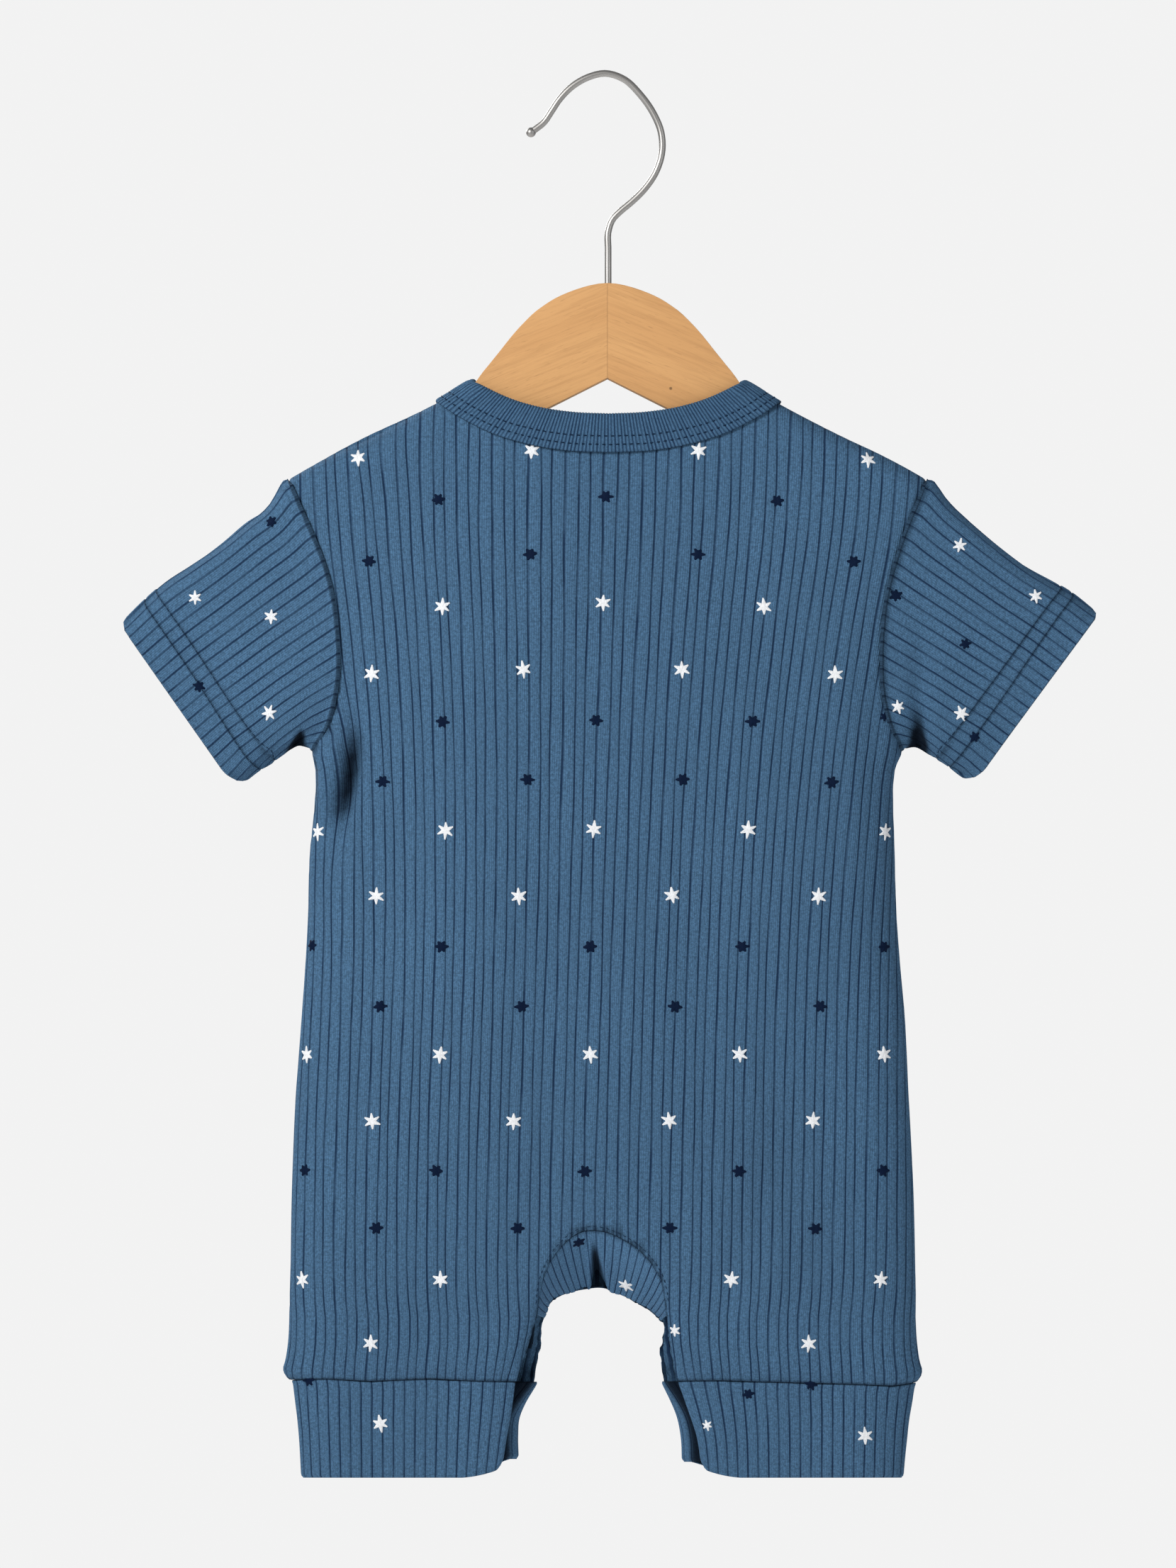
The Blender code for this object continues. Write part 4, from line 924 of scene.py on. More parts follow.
class Cuff:
    """A cuff from its back end, round the leg, and in under that end again."""

    def __init__(self, side):
        self.side = side
        self.levels = np.linspace(CUFF_SEAM, CUFF_HEM, 2 * MIDDLE_LEVEL + 1)
        self.paths, self.starts, self.totals, self.corners, self.folds = [], [], [], [], []
        for z in self.levels:
            first = 1 if side < 0 else 2
            back_inner, front_inner, edge = (
                float(read(table, z, index)) for table, index in (
                    (INNER_LEGS, first), (INNER_LEGS, first + 2), (SIDES, first)))
            turn = np.linspace(0.0, math.pi / 2, HALF_STEPS)
            level = np.full(HALF_STEPS, z)
            back, _ = cloth_base(back_inner + (edge - back_inner) * np.sin(turn), level, -1)
            front, _ = cloth_base(edge + (front_inner - edge) * (1 - np.cos(turn)), level, 1)
            back[-1, 1] = front[0, 1] = 0.0
            wrap = spread([(-side * out, -by, 0.0) for out, by in CUFF_WRAP], 30) + front[-1]
            path = np.vstack([back, front[1:], wrap[1:]])
            along = distances(path)
            self.paths.append(sample(path, along, np.linspace(0.0, along[-1], PATH_STEPS)))
            self.starts.append(along[HALF_STEPS - 1])
            self.corners.append(along[2 * HALF_STEPS - 2])
            self.totals.append(along[-1])
            self.folds.append(side * edge)
        self.paths = np.array(self.paths)
        self.back_ribs = self.starts[MIDDLE_LEVEL] / CUFF_PITCH
        self.front_ribs = (self.totals[MIDDLE_LEVEL] - self.starts[MIDDLE_LEVEL]) / CUFF_PITCH

    def plain(self, rib, z):
        """Points of the plain face; ribs are numbered from the side fold, backwards negative."""
        level = np.clip((z - CUFF_SEAM) / (CUFF_HEM - CUFF_SEAM), 0, 1) * 2 * MIDDLE_LEVEL
        numbers = range(len(self.levels))
        start, total, fold = (
            np.interp(level, numbers, values) for values in (self.starts, self.totals, self.folds))
        whole = np.where(rib < 0, self.back_ribs, self.front_ribs) * CUFF_PITCH
        from_fold = np.abs(rib) * CUFF_PITCH
        shift = fold - self.folds[MIDDLE_LEVEL]
        grown = np.where(rib < 0, start, total - start) - whole - shift
        reach = np.where(rib < 0, 16.0, 30.0)
        moved = shift * (1 - np.exp(-from_fold / 14.0)) + grown * np.exp((from_fold - whole) / reach)
        along = start + np.sign(rib) * (from_fold + moved)
        spot = np.clip(along / total, 0, 1) * (PATH_STEPS - 1)
        return np.stack([between(self.paths[..., axis], level, spot) for axis in range(3)], axis=-1)

    def bottom(self, rib):
        """Lower edge, which rises in a round corner at each end."""
        from_back = (rib + self.back_ribs) * CUFF_PITCH
        to_corner = (self.corners[-1] - self.starts[-1]) - rib * CUFF_PITCH
        rise = 3.2 * np.clip(1 - from_back / 3.5, 0, 1) ** 2
        rise = rise + 4.1 * np.clip(1 - from_back / 23.0, 0, 1) ** 2
        front_rise = 8.0 if self.side < 0 else 6.8
        return CUFF_HEM + rise + front_rise * np.clip(1 - to_corner / 34.0, 0, 1) ** 1.5

    def inside(self, rib, share):
        return (rib >= -self.back_ribs) & (rib <= self.front_ribs)

    def past_corner(self, rib):
        """How far a rib lies past the front end's corner."""
        return rib * CUFF_PITCH - (self.corners[MIDDLE_LEVEL] - self.starts[MIDDLE_LEVEL])

    def height(self, rib, share):
        hidden = smooth(self.past_corner(rib), -14.0, -5.0)
        share = np.where(share < 0, share * (1 - 0.65 * hidden), share)
        return CUFF_SEAM - SEAM_HALF_GAP + (self.bottom(rib) - CUFF_SEAM) * share

    def point(self, rib, share):
        z = self.height(rib, share)
        base = self.plain(rib, z)
        step = 0.02
        round_it = self.plain(rib + step, z) - self.plain(rib - step, z)
        down = self.plain(rib, z - 0.5) - self.plain(rib, z + 0.5)
        normal = unit(np.cross(round_it, down) * -self.side)
        from_end = (rib + self.back_ribs) * CUFF_PITCH
        under = self.past_corner(rib)
        top = np.maximum(CUFF_SEAM - z, 0.0)
        normal[..., 2] *= 1 - hump(top, 2.5)
        normal = unit(normal)
        seam = hump(top, 0.5)
        fold = z - self.bottom(rib)
        height = rib_height(rib, CUFF_PITCH, 0.9) * (1 - 0.6 * seam) - 0.4 * seam
        height -= 0.9 * hump(fold, 0.7) + 0.8 * hump(from_end, 0.8)
        loose = smooth(fold, 0.0, 20.0) * smooth(from_end, 2.0, 9.0)
        height += 0.4 * np.sin(rib * 0.9 + self.side) * loose
        height -= 1.7 * smooth(z - CUFF_SEAM, -0.1, 0.6)
        # Painted shade: a dark line along the cuff seam, and painted shadow where the front end passes in
        # under the back end.
        shade = (1 - 0.8 * hump(top, 0.3)) * (1 - 0.95 * smooth(under, 11.5, 15.8))
        return base + normal * height[..., None], np.clip(shade, 0.03, 1.0)

    def grid(self):
        first, last = -int(math.ceil(self.back_ribs)) - 1, int(math.ceil(self.front_ribs)) + 1
        shares = np.concatenate([
            [-0.03, -0.012, 0.0, 0.01, 0.022, 0.04], np.linspace(0.07, 0.95, 17), [0.975, 0.988, 1.0]])
        ribs, shares = np.meshgrid(rib_columns(first, last), shares)
        return np.stack([ribs, shares], axis=-1)


# ------------ the crotch strip
PLACKET_PITCH = 4.0
PLACKET_SPAN = (2, 10)


class Placket:
    """The curved strip that closes the crotch; ribs fan across it from edge to edge."""

    def __init__(self):
        rows = CROTCH[PLACKET_SPAN[0] : PLACKET_SPAN[1] + 1]
        self.behind = spread([row[:2] for row in rows], 200)
        self.before = spread([row[2:] for row in rows], 200)
        self.length = float(distances(self.behind)[-1])

    def plain(self, rib, share):
        spot = np.clip(rib * PLACKET_PITCH / self.length, 0, 1)
        at = np.linspace(0.0, 1.0, 200)
        ends = []
        for line, face in ((self.behind, -1), (self.before, 1)):
            place = sample(line, at, spot)
            ends.append(cloth_base(place[..., 0], place[..., 1], face)[0])
        points = ends[0] + (ends[1] - ends[0]) * share[..., None]
        points[..., 2] -= 1.5 * np.sin(math.pi * share) * (1 - (2 * spot - 1) ** 2)
        return points

    def inside(self, rib, share):
        return (rib * PLACKET_PITCH >= 0.4) & (rib * PLACKET_PITCH <= self.length - 0.4)

    def point(self, rib, share):
        base = self.plain(rib, share)
        ahead = np.where(share > 0.5, -0.01, 0.01)
        across = (self.plain(rib, share + ahead) - base) / ahead[..., None]
        along = self.plain(rib + 0.1, share) - self.plain(rib - 0.1, share)
        normal = unit(np.cross(along, across))
        normal *= np.where(normal[..., 2:] > 0, -1.0, 1.0)
        fold_x = -4.9 + 1.8 * share
        off = base[..., 0] - fold_x + 0.5
        deep = 6.5 * smooth(share, 0.08, 0.75)
        width = (0.8 + 1.7 * share) * np.where(off < 0, 0.62, 1.25)
        height = rib_height(rib, PLACKET_PITCH, 0.9) - deep * hump(off, width)
        lips = hump(off + width * 2.1, width) + hump(off - width * 2.1, width)
        height += 1.1 * smooth(share, 0.1, 0.5) * lips
        height += 0.5 * np.sin(rib * 1.1) * smooth(share, 0.5, 1.0) * (base[..., 0] < -6)
        height -= 0.9 * hump(share * 30.0, 0.9)
        # Painted shade: a dark line along the strip's seam, and painted shadow in the deep middle fold.
        shade = 1 - 0.88 * hump(share * 30.0, 1.15)
        shade *= 1 - 0.97 * hump(off, width * 0.95) * smooth(share, 0.06, 0.45)
        return base + normal * height[..., None], np.clip(shade, 0.02, 1.0)

    def grid(self):
        last = int(math.ceil(self.length / PLACKET_PITCH))
        shares = np.concatenate([[0.02, 0.035, 0.06], np.linspace(0.1, 0.97, 22), [0.985]])
        ribs, shares = np.meshgrid(rib_columns(0, last), shares)
        return np.stack([ribs, shares], axis=-1)


# ------------ neckband
BAND_PITCH = 1.45
BAND_PHASES = (0.0, 0.16, 0.33, 0.5, 0.67, 0.84)
BAND_DEPTH = 14.0       # what shows of the band's depth on one face
BAND_ROWS = (3.0, 6.6)  # rows of stitches, up from the band's lower edge
# Painted shade: a shadow line along the band's lower edge, points 0 and 1, and faint lines at the stitch
# rows, points 5 and 8.
BAND_SHADES = {0: 0.35, 1: 0.6, 5: 0.93, 8: 0.93}  # of the section's points by number, the others 1
# Section of the bound edge: distance up from the lower edge, off the panel's face, ribbing
BAND_FACE = [
    (-0.1, 0.75, 0), (-0.25, 1.15, 0.2), (0.15, 1.5, 0.3), (1, 1.66, 0.6), (2.3, 1.64, 0.6),
    (3, 1.48, 0.5), (3.7, 1.64, 0.6), (5.8, 1.66, 0.6), (6.6, 1.5, 0.5), (7.4, 1.7, 0.9),
]
BAND_TOP = [
    # share of the width still below, off, ribbing
    (0.36, 1.82, 1), (0.22, 1.86, 1), (0.1, 1.84, 1), (0, 1.7, 1),
]
BAND_TURN = [
    # past the neck edge, off, ribbing
    (0.75, 1.4, 1), (1.35, 0.8, 1), (1.7, -0.1, 1), (1.6, -1.2, 0.8), (1, -2.2, 0.6), (0, -2.7, 0.4),
]
BAND_INSIDE = [
    # share of the width down the inside, off, ribbing
    (0.25, -2.75, 0.4), (0.5, -2.75, 0.4), (0.5, -1.95, 0), (0.2, -1.95, 0),
]


def band_stations(face):
    """Neck edge and band edge points along one face, from the left shoulder to the right one."""
    inwards = np.linspace(1.0, 0.0, 40)[1:]
    half = []
    for table, limit in ((NECK_EDGE, NECK_REACH), (BAND_EDGE, BAND_REACH)):
        reaches = [limit] + [reach_at_drop(drop, table, limit, face) for drop in roll_drops(6)[1:]]
        reaches = np.concatenate([reaches, reaches[-1] * inwards])
        half += [-reaches, read(table, reaches, 1 if face < 0 else 2)]
    half = np.stack(half, axis=-1)
    line = np.vstack([half, half[-2::-1] * (-1, 1, -1, 1)])
    line[:, ::2] += NECK_MIDDLE
    line[[0, -1], 1::2] = ridge(line[[0, -1], ::2])
    return line


def band_surface(stations, share, face):
    """The cloth under the band, at a share of the way from the neck edge to its lower edge."""
    x, z = (stations[:, n] + (stations[:, n + 2] - stations[:, n]) * share for n in (0, 1))
    return cloth_base(x, np.minimum(z, ridge(x) - 0.002), face)


def band_ring():
    """Every column of the band: stations on each face, their widths and their rib numbers."""
    rings = []
    ribs_done = 0
    for face in (-1, 1):
        line = band_stations(face)
        along = distances(band_surface(line, 0.6, face)[0])
        ribs = int(round(along[-1] / BAND_PITCH))
        rib = np.array([n + phase for n in range(ribs) for phase in BAND_PHASES] + [ribs])
        stations = sample(line, along, rib / ribs * along[-1])
        if face > 0:
            stations, rib = stations[::-1][1:-1], rib[::-1][1:-1]
        rings.append((face, stations, rib + ribs_done))
        ribs_done += ribs
    return rings


def band_section(stations, ribs, face):
    """Lines along the band from its lower edge round to the inside, each with its v, and its stitch rows."""
    neck, neck_normal = band_surface(stations, 0.0, face)
    near, _ = band_surface(stations, 0.06, face)
    low, _ = band_surface(stations, 1.0, face)
    width = np.linalg.norm(low - neck, axis=1)
    past = neck - near
    past = unit(past - neck_normal * (past * neck_normal).sum(axis=1, keepdims=True))
    wave = -np.cos(ribs * 2 * math.pi)

    def on_face(share, off, ribbing):
        base, normal = band_surface(stations, np.clip(share, 0.0, 1.03), face)
        return base + normal * (off + 0.21 * ribbing * wave)[:, None]

    section = [(on_face(1 - up / width, off, ribbing), BAND_DEPTH - up) for up, off, ribbing in BAND_FACE]
    section += [(on_face(share, off, ribbing), BAND_DEPTH * share) for share, off, ribbing in BAND_TOP]
    for beyond, off, ribbing in BAND_TURN:
        out = past * (beyond + 0.12 * ribbing * wave)[:, None]
        out += neck_normal * (off + 0.12 * ribbing * wave * np.sign(off))[:, None]
        section.append((neck + out, -beyond))
    section += [(on_face(share, off, -ribbing), -4 - share) for share, off, ribbing in BAND_INSIDE]
    rows = []
    for up in BAND_ROWS:
        base, normal = band_surface(stations, 1 - up / width, face)
        rows.append((base + normal * 1.56, normal))
    return [(true_place(line), v) for line, v in section], rows


# ------------ finishes
def add_node(tree, kind, **settings):
    """Adds a node with these settings."""
    node = tree.nodes.new(kind)
    for name, value in settings.items():
        setattr(node, name, value)
    return node


def feed(tree, node, name, value):
    """Sets an input, or links it if value is another node's output."""
    socket = node.inputs[name]
    if isinstance(value, bpy.types.NodeSocket):
        tree.links.new(value, socket)
    else:
        socket.default_value = value


def value_of(tree, kind, inputs, output=0, **settings):
    """Adds a node with these inputs and settings, and gives one of its outputs."""
    node = add_node(tree, kind, **settings)
    for name, value in inputs.items():
        feed(tree, node, name, value)
    return node.outputs[output]


def maths(tree, operation, first, second=0.0, clamp=False):
    return value_of(tree, "ShaderNodeMath", {0: first, 1: second}, operation=operation, use_clamp=clamp)


def mix_colour(tree, share, first, second):
    inputs = {0: share, 6: first, 7: second}
    return value_of(tree, "ShaderNodeMix", inputs, 2, data_type="RGBA", clamp_factor=True)


def noise(tree, vector, scale, detail=3.0, roughness=0.55):
    inputs = {"Vector": vector, "Scale": scale, "Detail": detail, "Roughness": roughness}
    return value_of(tree, "ShaderNodeTexNoise", inputs, "Fac")


def remap(tree, value, low, high, to_low, to_high):
    inputs = {"From Min": low, "From Max": high, "To Min": to_low, "To Max": to_high, "Value": value}
    return value_of(tree, "ShaderNodeMapRange", inputs, "Result", interpolation_type="SMOOTHSTEP")


def stretch(tree, vector, scale, turn=(0.0, 0.0, 0.0)):
    inputs = {"Vector": vector, "Scale": scale, "Rotation": turn}
    return value_of(tree, "ShaderNodeMapping", inputs, "Vector")


def bump(tree, height, distance, strength=1.0):
    inputs = {"Height": height, "Distance": distance, "Strength": strength}
    return value_of(tree, "ShaderNodeBump", inputs, "Normal")


def new_finish(name, roughness, **values):
    finish = bpy.data.materials.new(name)
    finish.use_nodes = True
    shader = finish.node_tree.nodes["Principled BSDF"]
    shader.inputs["Roughness"].default_value = roughness
    for key, value in values.items():
        shader.inputs[key.replace("_", " ")].default_value = value
    return finish, finish.node_tree, shader


def tint(colour, share):
    return (colour[0] * share, colour[1] * share, colour[2] * share, 1.0)


def separate(tree, vector):
    node = add_node(tree, "ShaderNodeSeparateXYZ")
    feed(tree, node, 0, vector)
    return node.outputs


def layered(tree, colour, base, layers):
    """Lays tints of a base colour over a colour: each follows a value from low to high by so much."""
    for value, low, high, to_low, to_high, share in layers:
        amount = remap(tree, value, low, high, to_low, to_high)
        colour = mix_colour(tree, amount, colour, tint(base, share))
    return colour


def two_tones(tree, shader, value, low, high, first, second):
    """Colours a finish from one tone to another as a value goes from low to high."""
    amount = remap(tree, value, low, high, 0.0, 1.0)
    feed(tree, shader, "Base Color", mix_colour(tree, amount, first, second))


def object_place(tree):
    return add_node(tree, "ShaderNodeTexCoord").outputs["Object"]


def knit_finish(name, wales, groove, darkest, softness, light=1.0):
    """Rib knit: a dark groove at every whole u, its darkness painted shade, fine wales between, a mottled
    yarn colour, painted shade on each rib's flanks and from the shade attribute; light scales the whole
    colour, for copies in painted shade or painted light.
    """
    cloth = bpy.context.scene.romper_cloth
    finish, tree, shader = new_finish(
        name, 0.92, Sheen_Weight=0.03, Sheen_Roughness=0.5, Specular_IOR_Level=0.08,
        Sheen_Tint=(0.35, 0.55, 0.8, 1.0))
    uv = add_node(tree, "ShaderNodeUVMap", uv_map="ribs").outputs["UV"]
    u, v = separate(tree, uv)[:2]
    from_middle = maths(tree, "ABSOLUTE", maths(tree, "SUBTRACT", maths(tree, "FRACT", u), 0.5))
    in_groove = remap(tree, from_middle, 0.5 - groove - softness, 0.5 - groove * 0.4, 0.0, 1.0)
    shaded_flank = remap(tree, from_middle, 0.2, 0.5, 0.0, 1.0)
    wale_wave = maths(tree, "SINE", maths(tree, "MULTIPLY", u, 2 * math.pi * wales))
    course_wave = maths(tree, "SINE", maths(tree, "MULTIPLY", v, 2 * math.pi * 9.0))
    streaks = noise(tree, stretch(tree, uv, (wales * 0.9, 1.3, 1.0)), 1.0, 4.0, 0.65)
    mottle = noise(tree, stretch(tree, uv, (4.2, 4.2, 1.0)), 1.0, 5.0, 0.85)
    drift = noise(tree, stretch(tree, uv, (0.9, 0.16, 1.0)), 1.0, 2.0, 0.5)
    broad = noise(tree, object_place(tree), 14.0, 2.0)
    crown = tuple(channel * light for channel in cloth.rib_colour)
    dark = tuple(channel * light for channel in cloth.groove_shade_colour)
    colour = layered(tree, tint(crown, 0.84), crown, [
        (streaks, 0.32, 0.68, 0.0, 1.0, 1.18),
        (mottle, 0.44, 0.66, 0.0, 0.9, 1.62), (mottle, 0.54, 0.34, 0.0, 0.8, 0.56),
        (wale_wave, -1.0, 1.0, 0.34, 0.0, 0.5), (broad, 0.35, 0.65, 0.16, 0.0, 0.72),
    ])
    # Painted shade: each rib darkens towards its flanks, as a round rib would shade.
    colour = mix_colour(tree, maths(tree, "MULTIPLY", shaded_flank, 0.2), colour, tint(crown, 0.6))
    # Painted shade in the groove between the ribs.
    depth = maths(tree, "MULTIPLY", in_groove, remap(tree, drift, 0.32, 0.62, 0.5 * darkest, darkest))
    colour = mix_colour(tree, depth, colour, tint(dark, 1.0))
    # Painted shade and painted light from the shade attribute: seams, folds, tucks and broad patches.
    shade = add_node(tree, "ShaderNodeAttribute", attribute_name="shade").outputs["Fac"]
    lit = maths(tree, "MULTIPLY", shade, 0.93)
    colour = mix_colour(tree, maths(tree, "SUBTRACT", 1.0, lit, True), colour, tint(dark, 0.12))
    feed(tree, shader, "Base Color", colour)
    grain = maths(tree, "ADD", maths(tree, "MULTIPLY", wale_wave, 0.5), 0.5)
    for value, share in ((course_wave, 0.22), (mottle, 1.1)):
        grain = maths(tree, "ADD", grain, maths(tree, "MULTIPLY", value, share))
    feed(tree, shader, "Normal", bump(tree, grain, 0.00016, 0.75))
    return finish


def thread_finish(name, colour, roughness=0.55):
    """Embroidery or sewing thread: fine parallel strands."""
    finish, tree, shader = new_finish(name, roughness, Specular_IOR_Level=0.08)
    place = stretch(tree, object_place(tree), (1.0, 1.0, 0.35), (0.0, 0.6, 0.0))
    strands = noise(tree, place, 2600.0, 2.0)
    two_tones(tree, shader, strands, 0.3, 0.7, tint(colour, 0.8), tint(colour, 1.0))
    feed(tree, shader, "Normal", bump(tree, strands, 0.0003, 0.6))
    return finish


def wood_finish(name, side):
    """Pale lacquered wood whose grain runs down each arm, mirrored at the joint."""
    hanger = bpy.context.scene.romper_hanger
    finish, tree, shader = new_finish(name, 0.66, Specular_IOR_Level=0.35)
    place = object_place(tree)
    turned = stretch(tree, place, (1.0, 1.0, 1.0), (0.0, math.radians(-22.0 * side), 0.0))
    figure = noise(tree, stretch(tree, turned, (5.0, 26.0, 60.0)), 1.0, 4.0, 0.5)
    fine = noise(tree, stretch(tree, turned, (40.0, 300.0, 900.0)), 1.0, 3.0, 0.6)
    pores = noise(tree, stretch(tree, turned, (200.0, 900.0, 2600.0)), 1.0, 2.0, 0.5)
    from_joint = maths(tree, "ABSOLUTE", maths(tree, "SUBTRACT", separate(tree, place)[0], MIDDLE * MM))
    layers = [
        (figure, 0.36, 0.7, 0.0, 0.66, 1.0), (fine, 0.4, 0.72, 0.0, 0.5, 0.84),
        (pores, 0.62, 0.76, 0.0, 0.45, 0.6), (from_joint, 0.00008, 0.00034, 0.26, 0.0, 0.4),
    ]
    if side > 0:
        ends = {0: stretch(tree, place, (1.0, 0.0, 1.0)), 1: (0.0273, 0.0, -0.1306)}
        from_knot = value_of(tree, "ShaderNodeVectorMath", ends, "Value", operation="DISTANCE")
        layers.append((from_knot, 0.0003, 0.0009, 0.8, 0.0, 0.22))
    colour = layered(tree, tint(hanger.wood_colour, 1.0), hanger.grain_colour, layers)
    feed(tree, shader, "Base Color", colour)
    feed(tree, shader, "Normal", bump(tree, fine, 0.0002, 0.12))
    return finish


def metal_finish(name):
    finish, tree, shader = new_finish(name, 0.42, Metallic=1.0)
    wear = noise(tree, object_place(tree), 60.0, 2.0)
    two_tones(tree, shader, wear, 0.35, 0.7, (0.44, 0.43, 0.415, 1.0), (0.39, 0.38, 0.37, 1.0))
    feed(tree, shader, "Roughness", remap(tree, wear, 0.35, 0.7, 0.38, 0.46))
    return finish


def plastic_finish(name):
    finish, tree, shader = new_finish(name, 0.3)
    cloud = noise(tree, object_place(tree), 700.0, 2.0)
    two_tones(tree, shader, cloud, 0.3, 0.7, (0.86, 0.86, 0.84, 1.0), (0.8, 0.8, 0.79, 1.0))
    feed(tree, shader, "Normal", bump(tree, cloud, 0.0001, 0.2))
    return finish


def finish_of(name):
    """Finds a finish, or makes it the first time it is asked for."""
    found = bpy.data.materials.get(name)
    if found:
        return found
    trim = bpy.context.scene.romper_trim
    maker, *settings = {
        "body_rib": (knit_finish, 6, 0.07, 0.92, 0.045),
        # Painted shade: the inside is the rib at a quarter of its colour.
        "inside_rib": (knit_finish, 6, 0.07, 0.92, 0.045, 0.25),
        "band_rib": (knit_finish, 2, 0.12, 0.9, 0.16),
        # Painted light: the crotch strip is the rib lightened by 1.3.
        "strip_rib": (knit_finish, 5, 0.07, 0.95, 0.05, 1.3),
        "white_thread": (thread_finish, trim.white),
        "navy_thread": (thread_finish, trim.navy, 0.7),
        "seam_thread": (thread_finish, trim.stitch, 0.7),
        "wood_left": (wood_finish, -1),
        "wood_right": (wood_finish, 1),
        "bright_wire": (metal_finish,),
        "snap_white": (plastic_finish,),
    }[name]
    return maker(name, *settings)


# ------------ stars and stitches on the cloth
# Stars by whether they are white: turn of the first arm, reach of it and its opposite, reach of the other
# arms and depth of the valleys as shares of the star's size, and half the width of a tip between them
STAR_FORMS = {True: (math.pi / 2, 1.14, 1.08, 0.28, 0.48), False: (0.0, 0.94, 0.82, 0.34, 0.5)}
# Rings of a star from its foot to its top: share of the outline, height over the cloth
STAR_LAYERS = ((1.0, -0.35), (1.0, 0.14), (0.93, 0.3), (0.5, 0.42))
# Rings of a stitch: share of its length, of its width and of its rise
STITCH_RINGS = ((0.0, 0.3, -0.5), (0.18, 0.85, 0.6), (0.5, 1.0, 1.0), (0.82, 0.85, 0.6), (1.0, 0.3, -0.5))
# Rows of stitches: length, gap, share of the width that is set, rise
STITCHES = {"hem": (2.0, 0.7, 0.8, 0.12), "arch": (1.5, 1.1, 0.8, 0.1), "neck": (1.5, 1.35, 1.45, 0.2)}
ARCH_ROW = slice(34, 128)  # of the points of the crotch line, those above the strip
BACK_FACE = -13.0          # where the back's stars lie, for their true places
BAND_CLEARANCE = 4.5       # how far the front's stars stay below the neckband


class Ground:
    """The outer faces of the cloth, to lay thread on."""

    def __init__(self, names):
        points, faces = [], []
        for name in names:
            mesh = bpy.data.objects[name].data
            start = len(points)
            points += [vertex.co.copy() for vertex in mesh.vertices]
            faces += [[start + index for index in face.vertices] for face in mesh.polygons]
        self.tree = BVHTree.FromPolygons(points, faces)

    def drop(self, origin, direction, limit=0.08):
        spot, normal, _, _ = self.tree.ray_cast(origin, direction, limit)
        return spot, normal


def face_spot(ground, x, z, face):
    """The cloth point at x and height z on one face, with a steadied normal and an up direction."""
    towards = Vector((0.0, -face, 0.0))
    normals, middle = Vector(), None
    for across in (-1.1, 0.0, 1.1):
        for up in (-1.1, 0.0, 1.1):
            origin = Vector(((x + across) * MM, face * 0.05, (z + up) * MM))
            spot, normal = ground.drop(origin, towards)
            if spot is None:
                continue
            if normal.dot(towards) > 0:
                normal = -normal
            normals += normal
            if across == 0.0 and up == 0.0:
                middle = spot
    if middle is None:
        return None
    normal = normals.normalized()
    up = (Vector((0.0, 0.0, 1.0)) - normal * normal.z).normalized()
    return middle, normal, up


def add_star(form, ground, middle, normal, up, turn, white, scale, dice):
    """One embroidered six-pointed star: a raised thread form whose foot follows the cloth."""
    size = bpy.context.scene.romper_trim.star_size / MM * scale
    side = up.cross(normal)
    turn = math.radians(turn + dice.uniform(-7, 7))
    first, longer, shorter, half_tip, valley = STAR_FORMS[white]
    arms = []
    for arm in range(6):
        reach = size * (longer if arm % 3 == 0 else shorter) * dice.uniform(0.92, 1.06)
        arms.append((first + arm * math.pi / 3 + dice.uniform(-0.07, 0.07), reach))
    outline = []
    for angle, reach in arms:
        outline += [(angle + bend / reach, reach * 0.96) for bend in (-half_tip, half_tip)]
        outline.append((angle + math.pi / 6, size * valley * dice.uniform(0.92, 1.08)))
    rings = []
    for shrink, lift in STAR_LAYERS:
        ring = []
        for angle, length in outline:
            offset = (side * math.cos(angle + turn) + up * math.sin(angle + turn)) * (length * shrink * MM)
            flat = middle + offset
            spot, _ = ground.drop(flat + normal * 0.004, -normal, 0.009)
            dip = 0.0 if spot is None else max((spot - flat).dot(normal), -0.0006)
            ring.append(form.verts.new(flat + normal * (dip + lift * MM)))
        rings.append(ring)
    join_rings(form, rings)
    centre = form.verts.new(sum((vert.co for vert in ring), Vector()) / len(ring) + normal * 0.0001)
    for vert, follow in zip(ring, ring[1:] + ring[:1]):
        form.faces.new((vert, follow, centre))


def join_rings(form, rings):
    """Faces between each ring of points and the next."""
    for ring, after in zip(rings, rings[1:]):
        for n in range(len(ring)):
            follow = (n + 1) % len(ring)
            form.faces.new((ring[n], ring[follow], after[follow], after[n]))


def piece_of(form, name, finish, nodes=()):
    """Makes a smooth piece of a form and hands it to the frame."""
    bmesh.ops.recalc_face_normals(form, faces=form.faces)
    mesh = bpy.data.meshes.new(name)
    form.to_mesh(mesh)
    form.free()
    mesh.shade_smooth()
    return settle(add_piece(name, mesh, [finish]), nodes)


def add_stitch(form, start, end, normal, width, rise):
    """One short stitch, a low six-sided loaf from start to end."""
    along = end - start
    if along.length < 1e-7:
        return
    along.normalize()
    side = along.cross(normal)
    rings = []
    for share, fat, lift in STITCH_RINGS:
        middle = start.lerp(end, share) + normal * (rise * lift)
        ring = []
        for step in range(6):
            angle = step * math.pi / 3
            offset = (side * math.cos(angle) + normal * (0.8 * math.sin(angle))) * (width * fat)
            ring.append(form.verts.new(middle + offset))
        rings.append(ring)
    join_rings(form, rings)
    form.faces.new(rings[0])
    form.faces.new(rings[-1])


